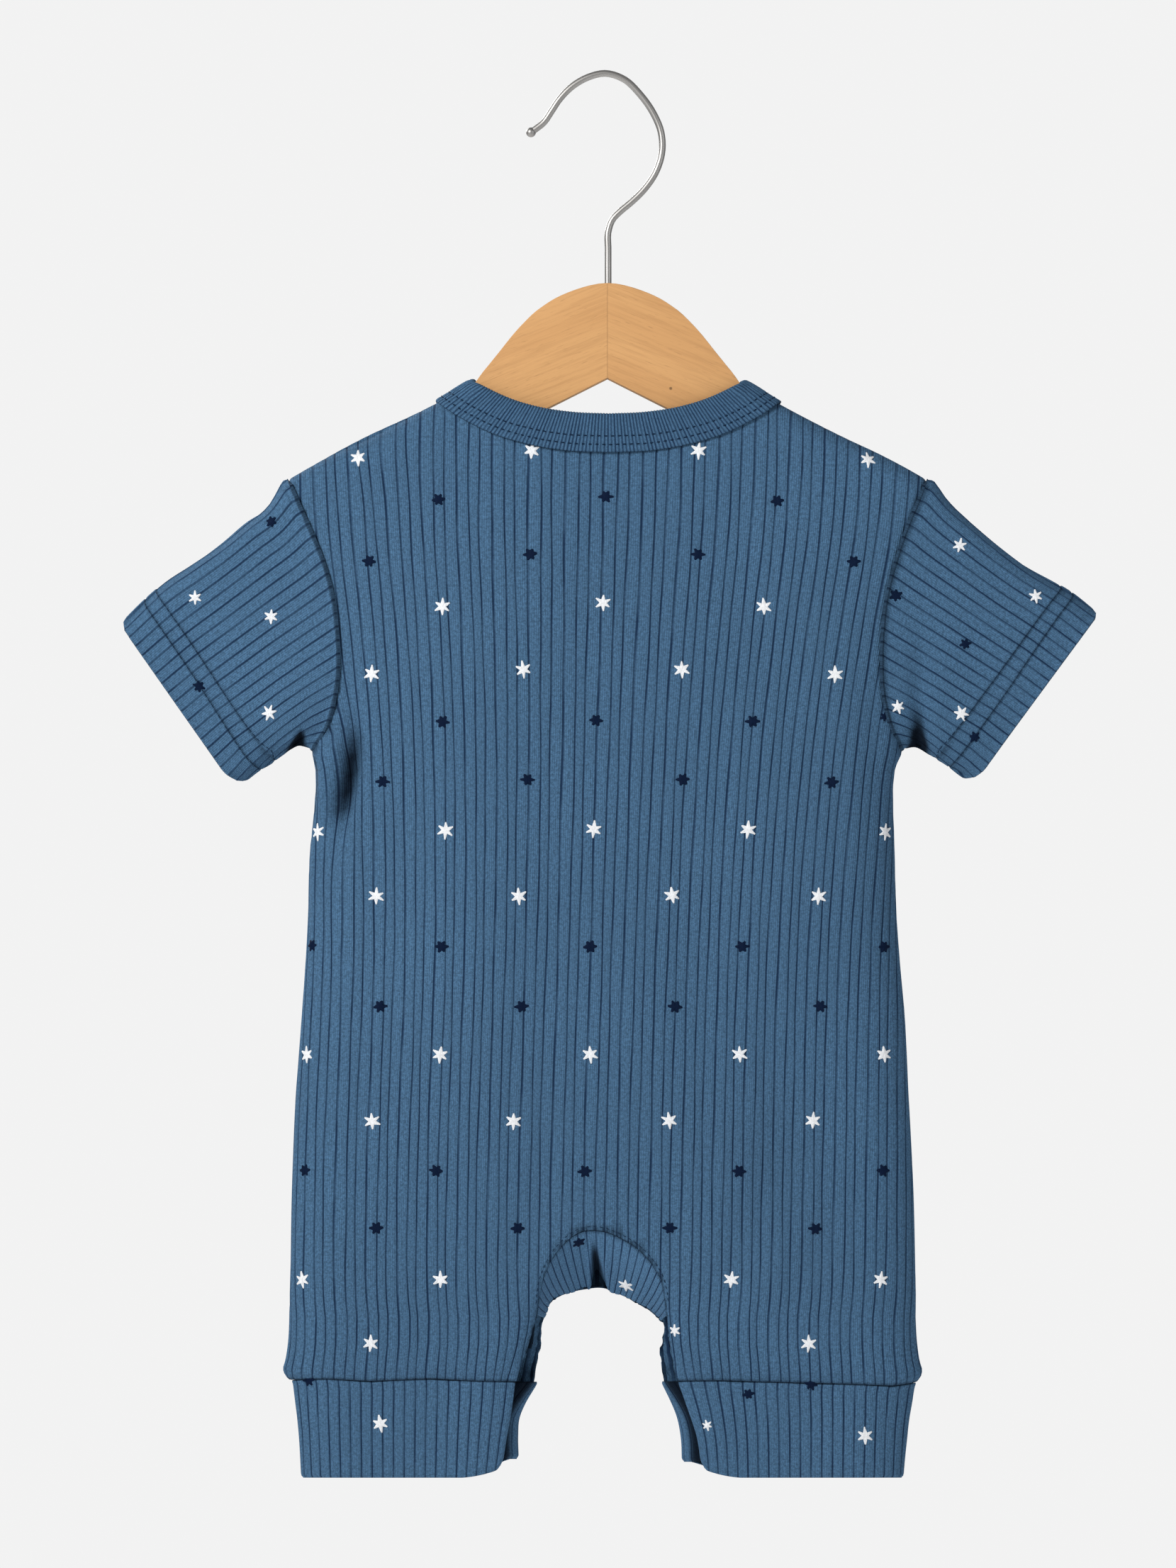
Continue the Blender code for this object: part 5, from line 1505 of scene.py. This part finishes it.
def stitch_line(form, points, normals, kind):
    """One row of stitches along a line of points."""
    length, gap, share, rise = STITCHES[kind]
    width = bpy.context.scene.romper_trim.stitch_width * share
    points, normals = true_place(points), np.asarray(normals, float)
    along = distances(points)
    at = 0.0
    while at + length <= along[-1]:
        start, end = (Vector(sample(points, along, place)) * MM for place in (at, at + length))
        normal = Vector(sample(normals, along, at + length / 2)).normalized()
        add_stitch(form, start, end, normal, width, rise * MM)
        at += length + gap


PANELS = {}
SLEEVES = {}


# ------------ settings
class RomperCloth(bpy.types.PropertyGroup):
    """Cloth of the romper."""

    wall: bpy.props.FloatProperty(
        name="Cloth thickness", description="Thickness of one layer of rib knit",
        default=1.2 * MM, min=0.5 * MM, max=3 * MM, unit="LENGTH")
    cuff_wall: bpy.props.FloatProperty(
        name="Cuff thickness", description="Thickness of a folded cuff",
        default=2.0 * MM, min=1 * MM, max=4 * MM, unit="LENGTH")
    groove_depth: bpy.props.FloatProperty(
        name="Groove depth", description="Depth of the line between two ribs",
        default=0.27 * MM, min=0.0, max=1 * MM, unit="LENGTH")
    groove_width: bpy.props.FloatProperty(
        name="Groove width", description="Half width of the line between two ribs",
        default=0.28 * MM, min=0.1 * MM, max=1 * MM, unit="LENGTH")
    rib_colour: bpy.props.FloatVectorProperty(
        name="Rib colour", description="Colour of the ribs", subtype="COLOR",
        size=3, min=0.0, max=1.0, default=(0.069, 0.153, 0.268))
    # The groove colour is painted shade: what the recess between the ribs, and the painted shade of the
    # cloth, darken towards.
    groove_shade_colour: bpy.props.FloatVectorProperty(
        name="Groove colour", description="Colour of the lines between ribs", subtype="COLOR",
        size=3, min=0.0, max=1.0, default=(0.007, 0.0225, 0.064))


class RomperTrim(bpy.types.PropertyGroup):
    """Stars and stitches."""

    star_size: bpy.props.FloatProperty(
        name="Star size", description="Reach of a star's side points from its middle",
        default=3.3 * MM, min=1 * MM, max=8 * MM, unit="LENGTH")
    stitch_width: bpy.props.FloatProperty(
        name="Stitch width", description="Half width of a stitch",
        default=0.19 * MM, min=0.05 * MM, max=0.5 * MM, unit="LENGTH")
    white: bpy.props.FloatVectorProperty(
        name="White thread", description="Colour of the white stars", subtype="COLOR",
        size=3, min=0.0, max=1.0, default=(0.90, 0.92, 0.95))
    navy: bpy.props.FloatVectorProperty(
        name="Navy thread", description="Colour of the navy stars", subtype="COLOR",
        size=3, min=0.0, max=1.0, default=(0.0015, 0.009, 0.034))
    stitch: bpy.props.FloatVectorProperty(
        name="Seam thread", description="Colour of the seam stitches", subtype="COLOR",
        size=3, min=0.0, max=1.0, default=(0.007, 0.022, 0.055))


class RomperHanger(bpy.types.PropertyGroup):
    """Hanger and hook."""

    wire: bpy.props.FloatProperty(
        name="Wire diameter", description="Diameter of the hook's wire",
        default=2.85 * MM, min=1 * MM, max=6 * MM, unit="LENGTH")
    easing: bpy.props.FloatProperty(
        name="Edge easing", description="How far the wood's edges are rounded",
        default=3.2 * MM, min=0.5 * MM, max=5 * MM, unit="LENGTH")
    wood_colour: bpy.props.FloatVectorProperty(
        name="Wood colour", description="Colour of the pale wood", subtype="COLOR",
        size=3, min=0.0, max=1.0, default=(0.655, 0.357, 0.144))
    grain_colour: bpy.props.FloatVectorProperty(
        name="Grain colour", description="Colour of the darker grain", subtype="COLOR",
        size=3, min=0.0, max=1.0, default=(0.58, 0.30, 0.115))


class RomperStage(bpy.types.PropertyGroup):
    """Floor, lights and camera."""

    floor_drop: bpy.props.FloatProperty(
        name="Floor drop", description="How far the floor is below the hook",
        default=1.35, min=0.7, max=3.0, unit="LENGTH")
    key_power: bpy.props.FloatProperty(
        name="Key light", description="Power of the main light in watts", default=24.0, min=0.0, max=500.0)
    room: bpy.props.FloatProperty(
        name="Room light", description="Soft light from the whole room", default=0.28, min=0.0, max=3.0)
    backdrop: bpy.props.FloatProperty(
        name="Backdrop", description="Brightness of the pale backdrop", default=0.89, min=0.0, max=3.0)


# ------------ operators
def panel_piece(name, face):
    PANELS[face] = Panel(face)
    wall = bpy.context.scene.romper_cloth.wall
    piece = ribbed_sheet("cloth_" + name, PANELS[face], wall, (0.0, face, 0.0))
    if face > 0:
        turn_hem(piece)
    settle(piece, [name])
    flat_cut(face)


def turn_hem(piece):
    """The front's inner leg edges are turned in: there the inner faces take the plain rib finish, not the
    inside's painted-shade copy.
    """
    faces = [face for face in piece.data.polygons if face.center.z < -0.506 and abs(face.center.x) < 0.05]
    centres = np.array([face.center for face in faces]) / MM
    distance = gap_distance(centres[:, 0], centres[:, 2], 1)
    wide = 3.4 + 7.0 * smooth(-centres[:, 2], 530.0, 540.0)
    for face, turned in zip(faces, distance < wide):
        if turned:
            face.material_index = 0


class ROMPER_OT_back(bpy.types.Operator):
    """Back of the romper: one panel with both legs, hung over the hanger's arms"""

    bl_idname = "romper.back"
    bl_label = "Back"

    def execute(self, context):
        panel_piece("back", -1)
        return {"FINISHED"}


class ROMPER_OT_front(bpy.types.Operator):
    """Front of the romper, with its lower neck edge and gathered inner legs"""

    bl_idname = "romper.front"
    bl_label = "Front"

    def execute(self, context):
        panel_piece("front", 1)
        return {"FINISHED"}


class ROMPER_OT_sleeves(bpy.types.Operator):
    """Both short sleeves with their turned hems"""

    bl_idname = "romper.sleeves"
    bl_label = "Sleeves"

    def execute(self, context):
        for name, side in (("sleeve_left", -1), ("sleeve_right", 1)):
            SLEEVES[side] = Sleeve(side)
            piece = ribbed_sheet(
                "cloth_" + name, SLEEVES[side], context.scene.romper_cloth.wall, length_unit=0.053,
                first_groove=0.5)
            settle(piece, [name])
        return {"FINISHED"}


class ROMPER_OT_cuffs(bpy.types.Operator):
    """Both folded leg cuffs, each with its front end passing under its back end"""

    bl_idname = "romper.cuffs"
    bl_label = "Cuffs"

    def execute(self, context):
        for name, side in (("cuff_left", -1), ("cuff_right", 1)):
            piece = ribbed_sheet(
                "cloth_" + name, Cuff(side), context.scene.romper_cloth.cuff_wall, length_unit=0.11)
            settle(piece, [name])
        return {"FINISHED"}


class ROMPER_OT_crotch(bpy.types.Operator):
    """The curved strip that closes the crotch, with its deep middle fold"""

    bl_idname = "romper.crotch"
    bl_label = "Crotch strip"

    def execute(self, context):
        wall = context.scene.romper_cloth.wall
        piece = ribbed_sheet("cloth_crotch", Placket(), wall, (0.0, -0.2, -1.0), "strip_rib", 0.1)
        settle(piece, ["crotch_placket"])
        return {"FINISHED"}


class ROMPER_OT_neckband(bpy.types.Operator):
    """Fine rib strip bound over the whole neck edge, with two rows of stitches"""

    bl_idname = "romper.neckband"
    bl_label = "Neckband"

    def execute(self, context):
        form = bmesh.new()
        layer = form.loops.layers.uv.new("ribs")
        shade = form.verts.layers.float.new("shade")
        uv_of, columns, seams = {}, [], []
        for face, stations, ribs in band_ring():
            section, rows = band_section(stations, ribs, face)
            seams += rows
            for number, rib in enumerate(ribs):
                ring = [form.verts.new(line[number] * MM) for line, _ in section]
                uv_of.update((vert, (float(rib), v / 4.5)) for vert, (_, v) in zip(ring, section))
                columns.append(ring)
        join_rings(form, columns + columns[:1])
        for ring in columns:
            for number, vert in enumerate(ring):
                vert[shade] = BAND_SHADES.get(number, 1.0)
        for one in form.faces:
            us = [uv_of[loop.vert][0] for loop in one.loops]
            for loop, u in zip(one.loops, us):
                # Where the last column meets the first, it is laid out just before it
                if max(us) - min(us) > 2:
                    u = min(us) if u - min(us) < 1 else min(us) - 0.16
                loop[layer].uv = (u, uv_of[loop.vert][1])
        piece = piece_of(form, "cloth_neckband", "band_rib", ["neckband"])
        stitches = bmesh.new()
        for line, normals in seams:
            stitch_line(stitches, line, normals, "neck")
        rows = piece_of(stitches, "neckband_stitches", "seam_thread")
        return {"FINISHED"}


class ROMPER_OT_stars(bpy.types.Operator):
    """Rows of small embroidered white and navy stars over the whole cloth"""

    bl_idname = "romper.stars"
    bl_label = "Stars"

    def execute(self, context):
        dice = random.Random(11)
        white, navy = bmesh.new(), bmesh.new()
        panels = Ground(["cloth_back", "cloth_front"])
        arms = Ground(["cloth_sleeve_left", "cloth_sleeve_right"])
        legs = Ground(["cloth_cuff_left", "cloth_cuff_right"])
        strip = Ground(["cloth_crotch"])

        def sew(ground, x, z, face, turn, is_white, scale=1.0):
            found = face_spot(ground, x, z, face)
            if found:
                add_star(white if is_white else navy, ground, *found, turn, is_white, scale, dice)

        def sew_back(ground, x, z, turn, is_white, scale=1.0):
            x, _, z = true_place([x, BACK_FACE, z])
            sew(ground, float(x), float(z), -1, turn, is_white, scale)

        for height, is_white, places in BACK_STARS:
            for x in places:
                droop = 3.3 * (x / 100.0) ** 2 * float(smooth(height, -360.0, -200.0))
                sew_back(panels, x, height - droop + dice.uniform(-0.3, 0.3), 0, is_white)
        panel = PANELS[1]
        for height, start, is_white in FRONT_ROWS:
            for number in range(-3, 4):
                rib = (number + start) * STAR_RIBS + FIRST_COLUMN + dice.uniform(-0.2, 0.2)
                z = height + dice.uniform(-0.8, 0.8)
                ends = np.array([rib - 0.7, rib + 0.7]), np.array([z, z])
                if not panel.inside(*ends).all():
                    continue
                x = float(panel.place(*ends).mean())
                reach = abs(x - NECK_MIDDLE)
                if reach < BAND_REACH and z > float(read(BAND_EDGE, reach, 2)) - BAND_CLEARANCE:
                    continue
                if not in_gap(np.array([x - math.copysign(3.0, x)]), np.array([z - 2.5]), 1)[0]:
                    sew(panels, x, z, 1, 0, is_white)
        for x, z, turn, is_white in SLEEVE_STARS:
            scale = dice.uniform(0.82, 0.95)
            sew_back(arms, x, z, turn, is_white, scale)
            sew(arms, x + (6.0 if x < 0 else -5.0), z + 7.0, 1, -turn, is_white, scale)
        for x, z, turn, is_white, scale in CUFF_STARS:
            sew_back(legs, x, z, turn, is_white, scale)
            sew(legs, x + (9.0 if x < 0 else 6.0), z + 3.0, 1, -turn, is_white, scale)
        sew_back(panels, 29.0, -524.2, 8, True, 0.72)
        sew_back(panels, 116.9, -267.4, 20, False, 0.7)
        sew(strip, -11.1, -486.2, -1, 35, False)
        sew(strip, 8.6, -505.6, -1, -6, True, 1.05)
        piece_of(white, "stars_white", "white_thread")
        piece_of(navy, "stars_navy", "navy_thread")
        return {"FINISHED"}


class ROMPER_OT_stitches(bpy.types.Operator):
    """Stitches of both sleeve hems, and a row round the arch above the crotch strip"""

    bl_idname = "romper.stitches"
    bl_label = "Stitches"

    def execute(self, context):
        form = bmesh.new()
        for sleeve in SLEEVES.values():
            for number in (0, 1):
                for face in (-1, 1):
                    ribs = np.linspace(0.3, 23.0, 180) * (1 if face < 0 else -1)
                    turns = sleeve.turn_at(ribs, np.full(180, 0.75), face)[0]
                    shares = 1 - sleeve.hem_row(turns, number) / sleeve.length(turns, face)
                    keep = sleeve.inside(ribs, shares)
                    points, _ = sleeve.point(ribs[keep], shares[keep])
                    ahead, _ = sleeve.point(ribs[keep], shares[keep] + 0.004)
                    normals = np.cross(ahead - points, np.gradient(points, axis=0))
                    normals = unit(normals * np.sign(normals[:, 1:2] * face + 1e-9))
                    stitch_line(form, points + normals * 0.1, normals, "hem")
        line = CROTCH_LINES[-1][ARCH_ROW]
        along = unit(line[2:] - line[:-2])
        inset = line[1:-1] + along[:, ::-1] * (-1.5, 1.5)
        base, normals = cloth_base(inset[:, 0], inset[:, 1], -1)
        stitch_line(form, base + normals * 0.1, normals, "arch")
        piece_of(form, "seam_stitches", "seam_thread")
        return {"FINISHED"}


# ------------ hanger, hook and snaps
WOOD_THICK = 10.4
WOOD_STATIONS = [
    # reach, top height
    (0, -86.6), (3.5, -86.85), (7, -87.5), (10.5, -88.45), (13.7, -89.5), (16.6, -90.6), (19.4, -91.8),
    (22, -93.1), (24.5, -94.6), (27, -96.3), (29.5, -98.1), (31.8, -100.1), (34, -102.3),
    (36.8, -105.2), (39.6, -108.4), (42.1, -111.5), (44.6, -114.7), (47.1, -117.8), (49.6, -120.9),
    (51.6, -123.3), (53.4, -125.7), (55.1, -128.2), (56.8, -131), (59, -134.1), (75, -142.15),
    (96, -152.36), (110, -159.16), (117, -162.56),
]
WOOD_HALF_GAP = 0.015
WOOD_ROUND_END = 0.42  # how far an arm's round end reaches out, as a share of its height
NOTCH_Z = -126.2
NOTCH_SLOPE = 0.505
HOOK_ROUTE = [
    # x, z along the wire's middle, from inside the wood to the tip
    (1.2, -99.5), (1.2, -86.9), (1.2, -72), (1.25, -64.6), (2.9, -59.8), (6.2, -56.3), (10.2, -53),
    (16.4, -46.9), (21.2, -39.7), (23.8, -30.6), (23.2, -22.6), (20.4, -15.8), (14.6, -7.4), (7.8, -1),
    (0, 1.43), (-7.2, -0.2), (-13, -3.4), (-19.3, -9.6), (-22.5, -14.4), (-25.8, -19.2), (-29.9, -22.4),
]
HOOK_TIP_RADIUS = 2.05
SNAP_PLACES = [
    # name, x, y, z
    ("snap_cuff_left", -44.2, -6.3, -561.0), ("snap_cuff_right", 40.9, -6.3, -559.8),
]
SNAP_RADIUS, SNAP_DEPTH = 4.2, 1.9
SNAP_STEPS = ((1.2, 0.0), (0.4, -0.35), (0.5, 0.3))  # of a snap's faces: inwards, up


def place_in_mesh(piece):
    """Takes a piece's place, turn and size up into its mesh."""
    choose(piece)
    bpy.ops.object.transform_apply(location=True, rotation=True, scale=True)


def edit_all():
    bpy.ops.object.mode_set(mode="EDIT")
    bpy.ops.mesh.select_all(action="SELECT")


def begin(name, size=(1.0, 1.0, 1.0)):
    """Names and sizes the form that was just added, and opens it for editing."""
    piece = bpy.context.active_object
    piece.name = name
    piece.scale = size
    place_in_mesh(piece)
    edit_all()
    return piece


def pick(piece, mode, wanted):
    """Selects the edges or the faces of the piece in edit mode that wanted() is true for."""
    form = bmesh.from_edit_mesh(piece.data)
    form.select_mode = {mode}
    for part in form.edges if mode == "EDGE" else form.faces:
        part.select_set(wanted(part))
    form.select_flush_mode()
    bmesh.update_edit_mesh(piece.data)


def finish_hard(piece, sharp, finish, node):
    """Joins and smooths a hard piece up to an angle, and hands it over in its finish."""
    choose(piece)
    edit_all()
    bpy.ops.mesh.remove_doubles(threshold=1e-6)
    bpy.ops.mesh.normals_make_consistent(inside=False)
    bpy.ops.object.mode_set(mode="OBJECT")
    bpy.ops.object.shade_smooth_by_angle(angle=math.radians(sharp))
    piece.data.materials.append(finish_of(finish))
    settle(piece, [node])


def wood_half(name, side, finish):
    """One arm of the hanger, drawn out from the joint and rounded along its edges."""
    joint = MIDDLE + side * WOOD_HALF_GAP
    stations = [(reach, top, top - (NOTCH_Z - reach * NOTCH_SLOPE)) for reach, top in WOOD_STATIONS]
    last_reach, last_top, last_tall = stations[0]
    deselect_all()
    bpy.ops.mesh.primitive_plane_add(
        size=1.0, location=(joint * MM, 0.0, (last_top - last_tall / 2) * MM),
        rotation=(0.0, math.pi / 2, 0.0))
    piece = begin("wood_" + name, (last_tall * MM, WOOD_THICK * MM, 1.0))
    end_reach, end_top, end_tall = stations[-1]
    for step in range(1, 6):
        angle = math.radians(step * 17.0)
        height = end_tall * math.cos(angle)
        top = end_top - (end_tall - height) / 2 - step * 0.35
        stations.append((end_reach + end_tall * WOOD_ROUND_END * math.sin(angle), top, height))
    for reach, top, height in stations[1:]:
        old_middle, new_middle = last_top - last_tall / 2, top - height / 2
        bpy.ops.mesh.extrude_region_move(TRANSFORM_OT_translate={
            "value": (side * (reach - last_reach) * MM, 0.0, (new_middle - old_middle) * MM)})
        bpy.ops.transform.resize(
            value=(1.0, 1.0, height / last_tall),
            center_override=((joint + side * reach) * MM, 0.0, new_middle * MM))
        last_reach, last_top, last_tall = reach, top, height
    bpy.ops.mesh.select_all(action="DESELECT")

    def lengthwise(edge):
        a, b = edge.verts[0].co, edge.verts[1].co
        return abs(a.y - b.y) < 1e-7 and abs(a.x - b.x) > 1e-6

    pick(piece, "EDGE", lengthwise)
    bpy.ops.mesh.bevel(
        offset=bpy.context.scene.romper_hanger.easing, offset_type="OFFSET", segments=5, profile=0.5,
        clamp_overlap=True)
    bpy.ops.object.mode_set(mode="OBJECT")
    finish_hard(piece, 50, finish, name)


class ROMPER_OT_hanger(bpy.types.Operator):
    """The hanger's two wooden halves, glued in the middle"""

    bl_idname = "romper.hanger"
    bl_label = "Hanger"

    def execute(self, context):
        wood_half("hanger_left", -1, "wood_left")
        wood_half("hanger_right", 1, "wood_right")
        return {"FINISHED"}


class ROMPER_OT_hook(bpy.types.Operator):
    """The bright wire hook with a bead on its tip"""

    bl_idname = "romper.hook"
    bl_label = "Hook"

    def execute(self, context):
        radius = context.scene.romper_hanger.wire / 2
        route = spread(HOOK_ROUTE, 90)
        deselect_all()
        bpy.ops.mesh.primitive_circle_add(
            vertices=20, radius=radius, fill_type="NGON",
            location=(route[0][0] * MM, 0.0, route[0][1] * MM))
        piece = begin("wire_hook")
        heading = 0.0
        for number in range(1, len(route)):
            step = route[number] - route[number - 1]
            bpy.ops.mesh.extrude_region_move(
                TRANSFORM_OT_translate={"value": (step[0] * MM, 0.0, step[1] * MM)})
            ahead = route[min(number + 1, len(route) - 1)] - route[number - 1]
            wanted = math.atan2(ahead[0], ahead[1])
            turn = (wanted - heading + math.pi) % (2 * math.pi) - math.pi
            bpy.ops.transform.rotate(
                value=-turn, orient_axis="Y", orient_type="GLOBAL",
                center_override=(route[number][0] * MM, 0.0, route[number][1] * MM))
            heading = wanted
        bpy.ops.object.mode_set(mode="OBJECT")
        deselect_all()
        tip = route[-1] + unit(route[-1] - route[-2]) * 1.4
        bpy.ops.mesh.primitive_uv_sphere_add(
            segments=24, ring_count=14, radius=HOOK_TIP_RADIUS * MM,
            location=(tip[0] * MM, 0.0, tip[1] * MM))
        bead = bpy.context.active_object
        place_in_mesh(bead)
        choose(piece)
        bead.select_set(True)
        bpy.ops.object.join()
        finish_hard(piece, 60, "bright_wire", "hanger_hook")
        return {"FINISHED"}


class ROMPER_OT_snaps(bpy.types.Operator):
    """The white press snaps of the cuffs"""

    bl_idname = "romper.snaps"
    bl_label = "Snaps"

    def execute(self, context):
        for name, x, y, z in SNAP_PLACES:
            deselect_all()
            bpy.ops.mesh.primitive_cylinder_add(
                vertices=36, radius=SNAP_RADIUS * MM, depth=SNAP_DEPTH * MM,
                location=(x * MM, y * MM, z * MM), rotation=(math.pi / 2, 0.0, 0.0))
            piece = begin("press_" + name)
            pick(piece, "FACE", lambda face: abs(face.normal.y) > 0.9)
            for inwards, up in SNAP_STEPS:
                bpy.ops.mesh.inset(thickness=inwards * MM, depth=up * MM, use_individual=True)
            pick(piece, "EDGE", lambda edge: edge.calc_face_angle(0.0) > math.radians(50))
            bpy.ops.mesh.bevel(offset=0.22 * MM, offset_type="OFFSET", segments=3, profile=0.5)
            bpy.ops.object.mode_set(mode="OBJECT")
            finish_hard(piece, 40, "snap_white", name)
        return {"FINISHED"}


# ------------ stage
LAMPS = [
    # name, place, size, share of the key light's power, colour
    ("key", (-1.0, -1.25, 0.45), 0.55, 1.0, (1.0, 0.99, 0.975)),
    ("fill", (2.0, -1.9, 0.2), 1.8, 0.5, (0.97, 0.985, 1.0)),
    ("rear", (-1.5, 2.1, 1.0), 1.0, 2.1, (1.0, 1.0, 1.0)),
]
LAMP_AIM = (0.0, 0.0, -0.32)
FLOOR_RADIUS = 3.6


class ROMPER_OT_stage(bpy.types.Operator):
    """Plain pale floor, soft studio lights and the camera"""

    bl_idname = "romper.stage"
    bl_label = "Stage"

    def execute(self, context):
        stage = context.scene.romper_stage
        deselect_all()
        bpy.ops.mesh.primitive_circle_add(
            vertices=96, radius=FLOOR_RADIUS, fill_type="NGON", location=(0.0, 0.0, -stage.floor_drop))
        floor = bpy.context.active_object
        floor.name = "floor"
        grey = (0.8, 0.8, 0.8, 1.0)
        floor.data.materials.append(new_finish("pale_floor", 0.8, Emission_Strength=0.3, Base_Color=grey)[0])
        for name, place, size, share, colour in LAMPS:
            light = bpy.data.lights.new(name, "AREA")
            light.energy, light.size, light.color = stage.key_power * share, size, colour
            lamp = in_scene(name, light)
            lamp.location = place
            lamp.rotation_euler = (Vector(LAMP_AIM) - Vector(place)).to_track_quat("-Z", "Y").to_euler()
        world = bpy.data.worlds.new("pale_room")
        world.use_nodes = True
        tree = world.node_tree
        sky = tree.nodes["Background"]
        sky.inputs["Strength"].default_value = stage.room
        backdrop = add_node(tree, "ShaderNodeBackground")
        backdrop.inputs["Strength"].default_value = stage.backdrop
        for shade in (sky, backdrop):
            shade.inputs["Color"].default_value = (1.0, 1.0, 1.0, 1.0)
        chosen = add_node(tree, "ShaderNodeMixShader")
        tree.links.new(add_node(tree, "ShaderNodeLightPath").outputs["Is Camera Ray"], chosen.inputs[0])
        tree.links.new(sky.outputs[0], chosen.inputs[1])
        tree.links.new(backdrop.outputs[0], chosen.inputs[2])
        tree.links.new(chosen.outputs[0], tree.nodes["World Output"].inputs["Surface"])
        context.scene.world = world
        camera = bpy.data.cameras.new("camera")
        camera.sensor_width = SENSOR
        camera.lens = SENSOR * VIEW_DISTANCE / VIEW_HEIGHT
        camera.clip_start, camera.clip_end = 0.05, 50.0
        view = in_scene("camera", camera)
        view.location = (VIEW_CENTRE[0] * MM, -VIEW_DISTANCE * MM, VIEW_CENTRE[1] * MM)
        view.rotation_euler = (math.pi / 2, 0.0, 0.0)
        context.scene.camera = view
        context.scene.view_settings.view_transform = "Standard"
        return {"FINISHED"}


class ROMPER_PT_sidebar(bpy.types.Panel):
    """Lists the romper's settings and the steps that build it"""

    bl_idname = "ROMPER_PT_sidebar"
    bl_label = "Romper"
    bl_space_type = "VIEW_3D"
    bl_region_type = "UI"
    bl_category = "Romper"

    def draw(self, context):
        for name, group in GROUPS:
            box = self.layout.box()
            box.label(text=group.__doc__.rstrip("."))
            for key in group.__annotations__:
                box.prop(getattr(context.scene, name), key)
        for step in STEPS:
            self.layout.operator(step.bl_idname)


GROUPS = [
    ("romper_cloth", RomperCloth), ("romper_trim", RomperTrim), ("romper_hanger", RomperHanger),
    ("romper_stage", RomperStage),
]
STEPS = [
    ROMPER_OT_back, ROMPER_OT_front, ROMPER_OT_sleeves, ROMPER_OT_crotch, ROMPER_OT_cuffs,
    ROMPER_OT_neckband, ROMPER_OT_stars, ROMPER_OT_stitches, ROMPER_OT_hanger, ROMPER_OT_hook,
    ROMPER_OT_snaps, ROMPER_OT_stage,
]


def register():
    for name, group in GROUPS:
        bpy.utils.register_class(group)
        setattr(bpy.types.Scene, name, bpy.props.PointerProperty(type=group))
    for kind in STEPS + [ROMPER_PT_sidebar]:
        bpy.utils.register_class(kind)


def unregister():
    for kind in reversed(STEPS + [ROMPER_PT_sidebar]):
        bpy.utils.unregister_class(kind)
    for name, group in reversed(GROUPS):
        delattr(bpy.types.Scene, name)
        bpy.utils.unregister_class(group)


def main():
    register()
    for step in STEPS:
        group, operator = step.bl_idname.split(".")
        getattr(getattr(bpy.ops, group), operator)()


if __name__ == "__main__":
    main()
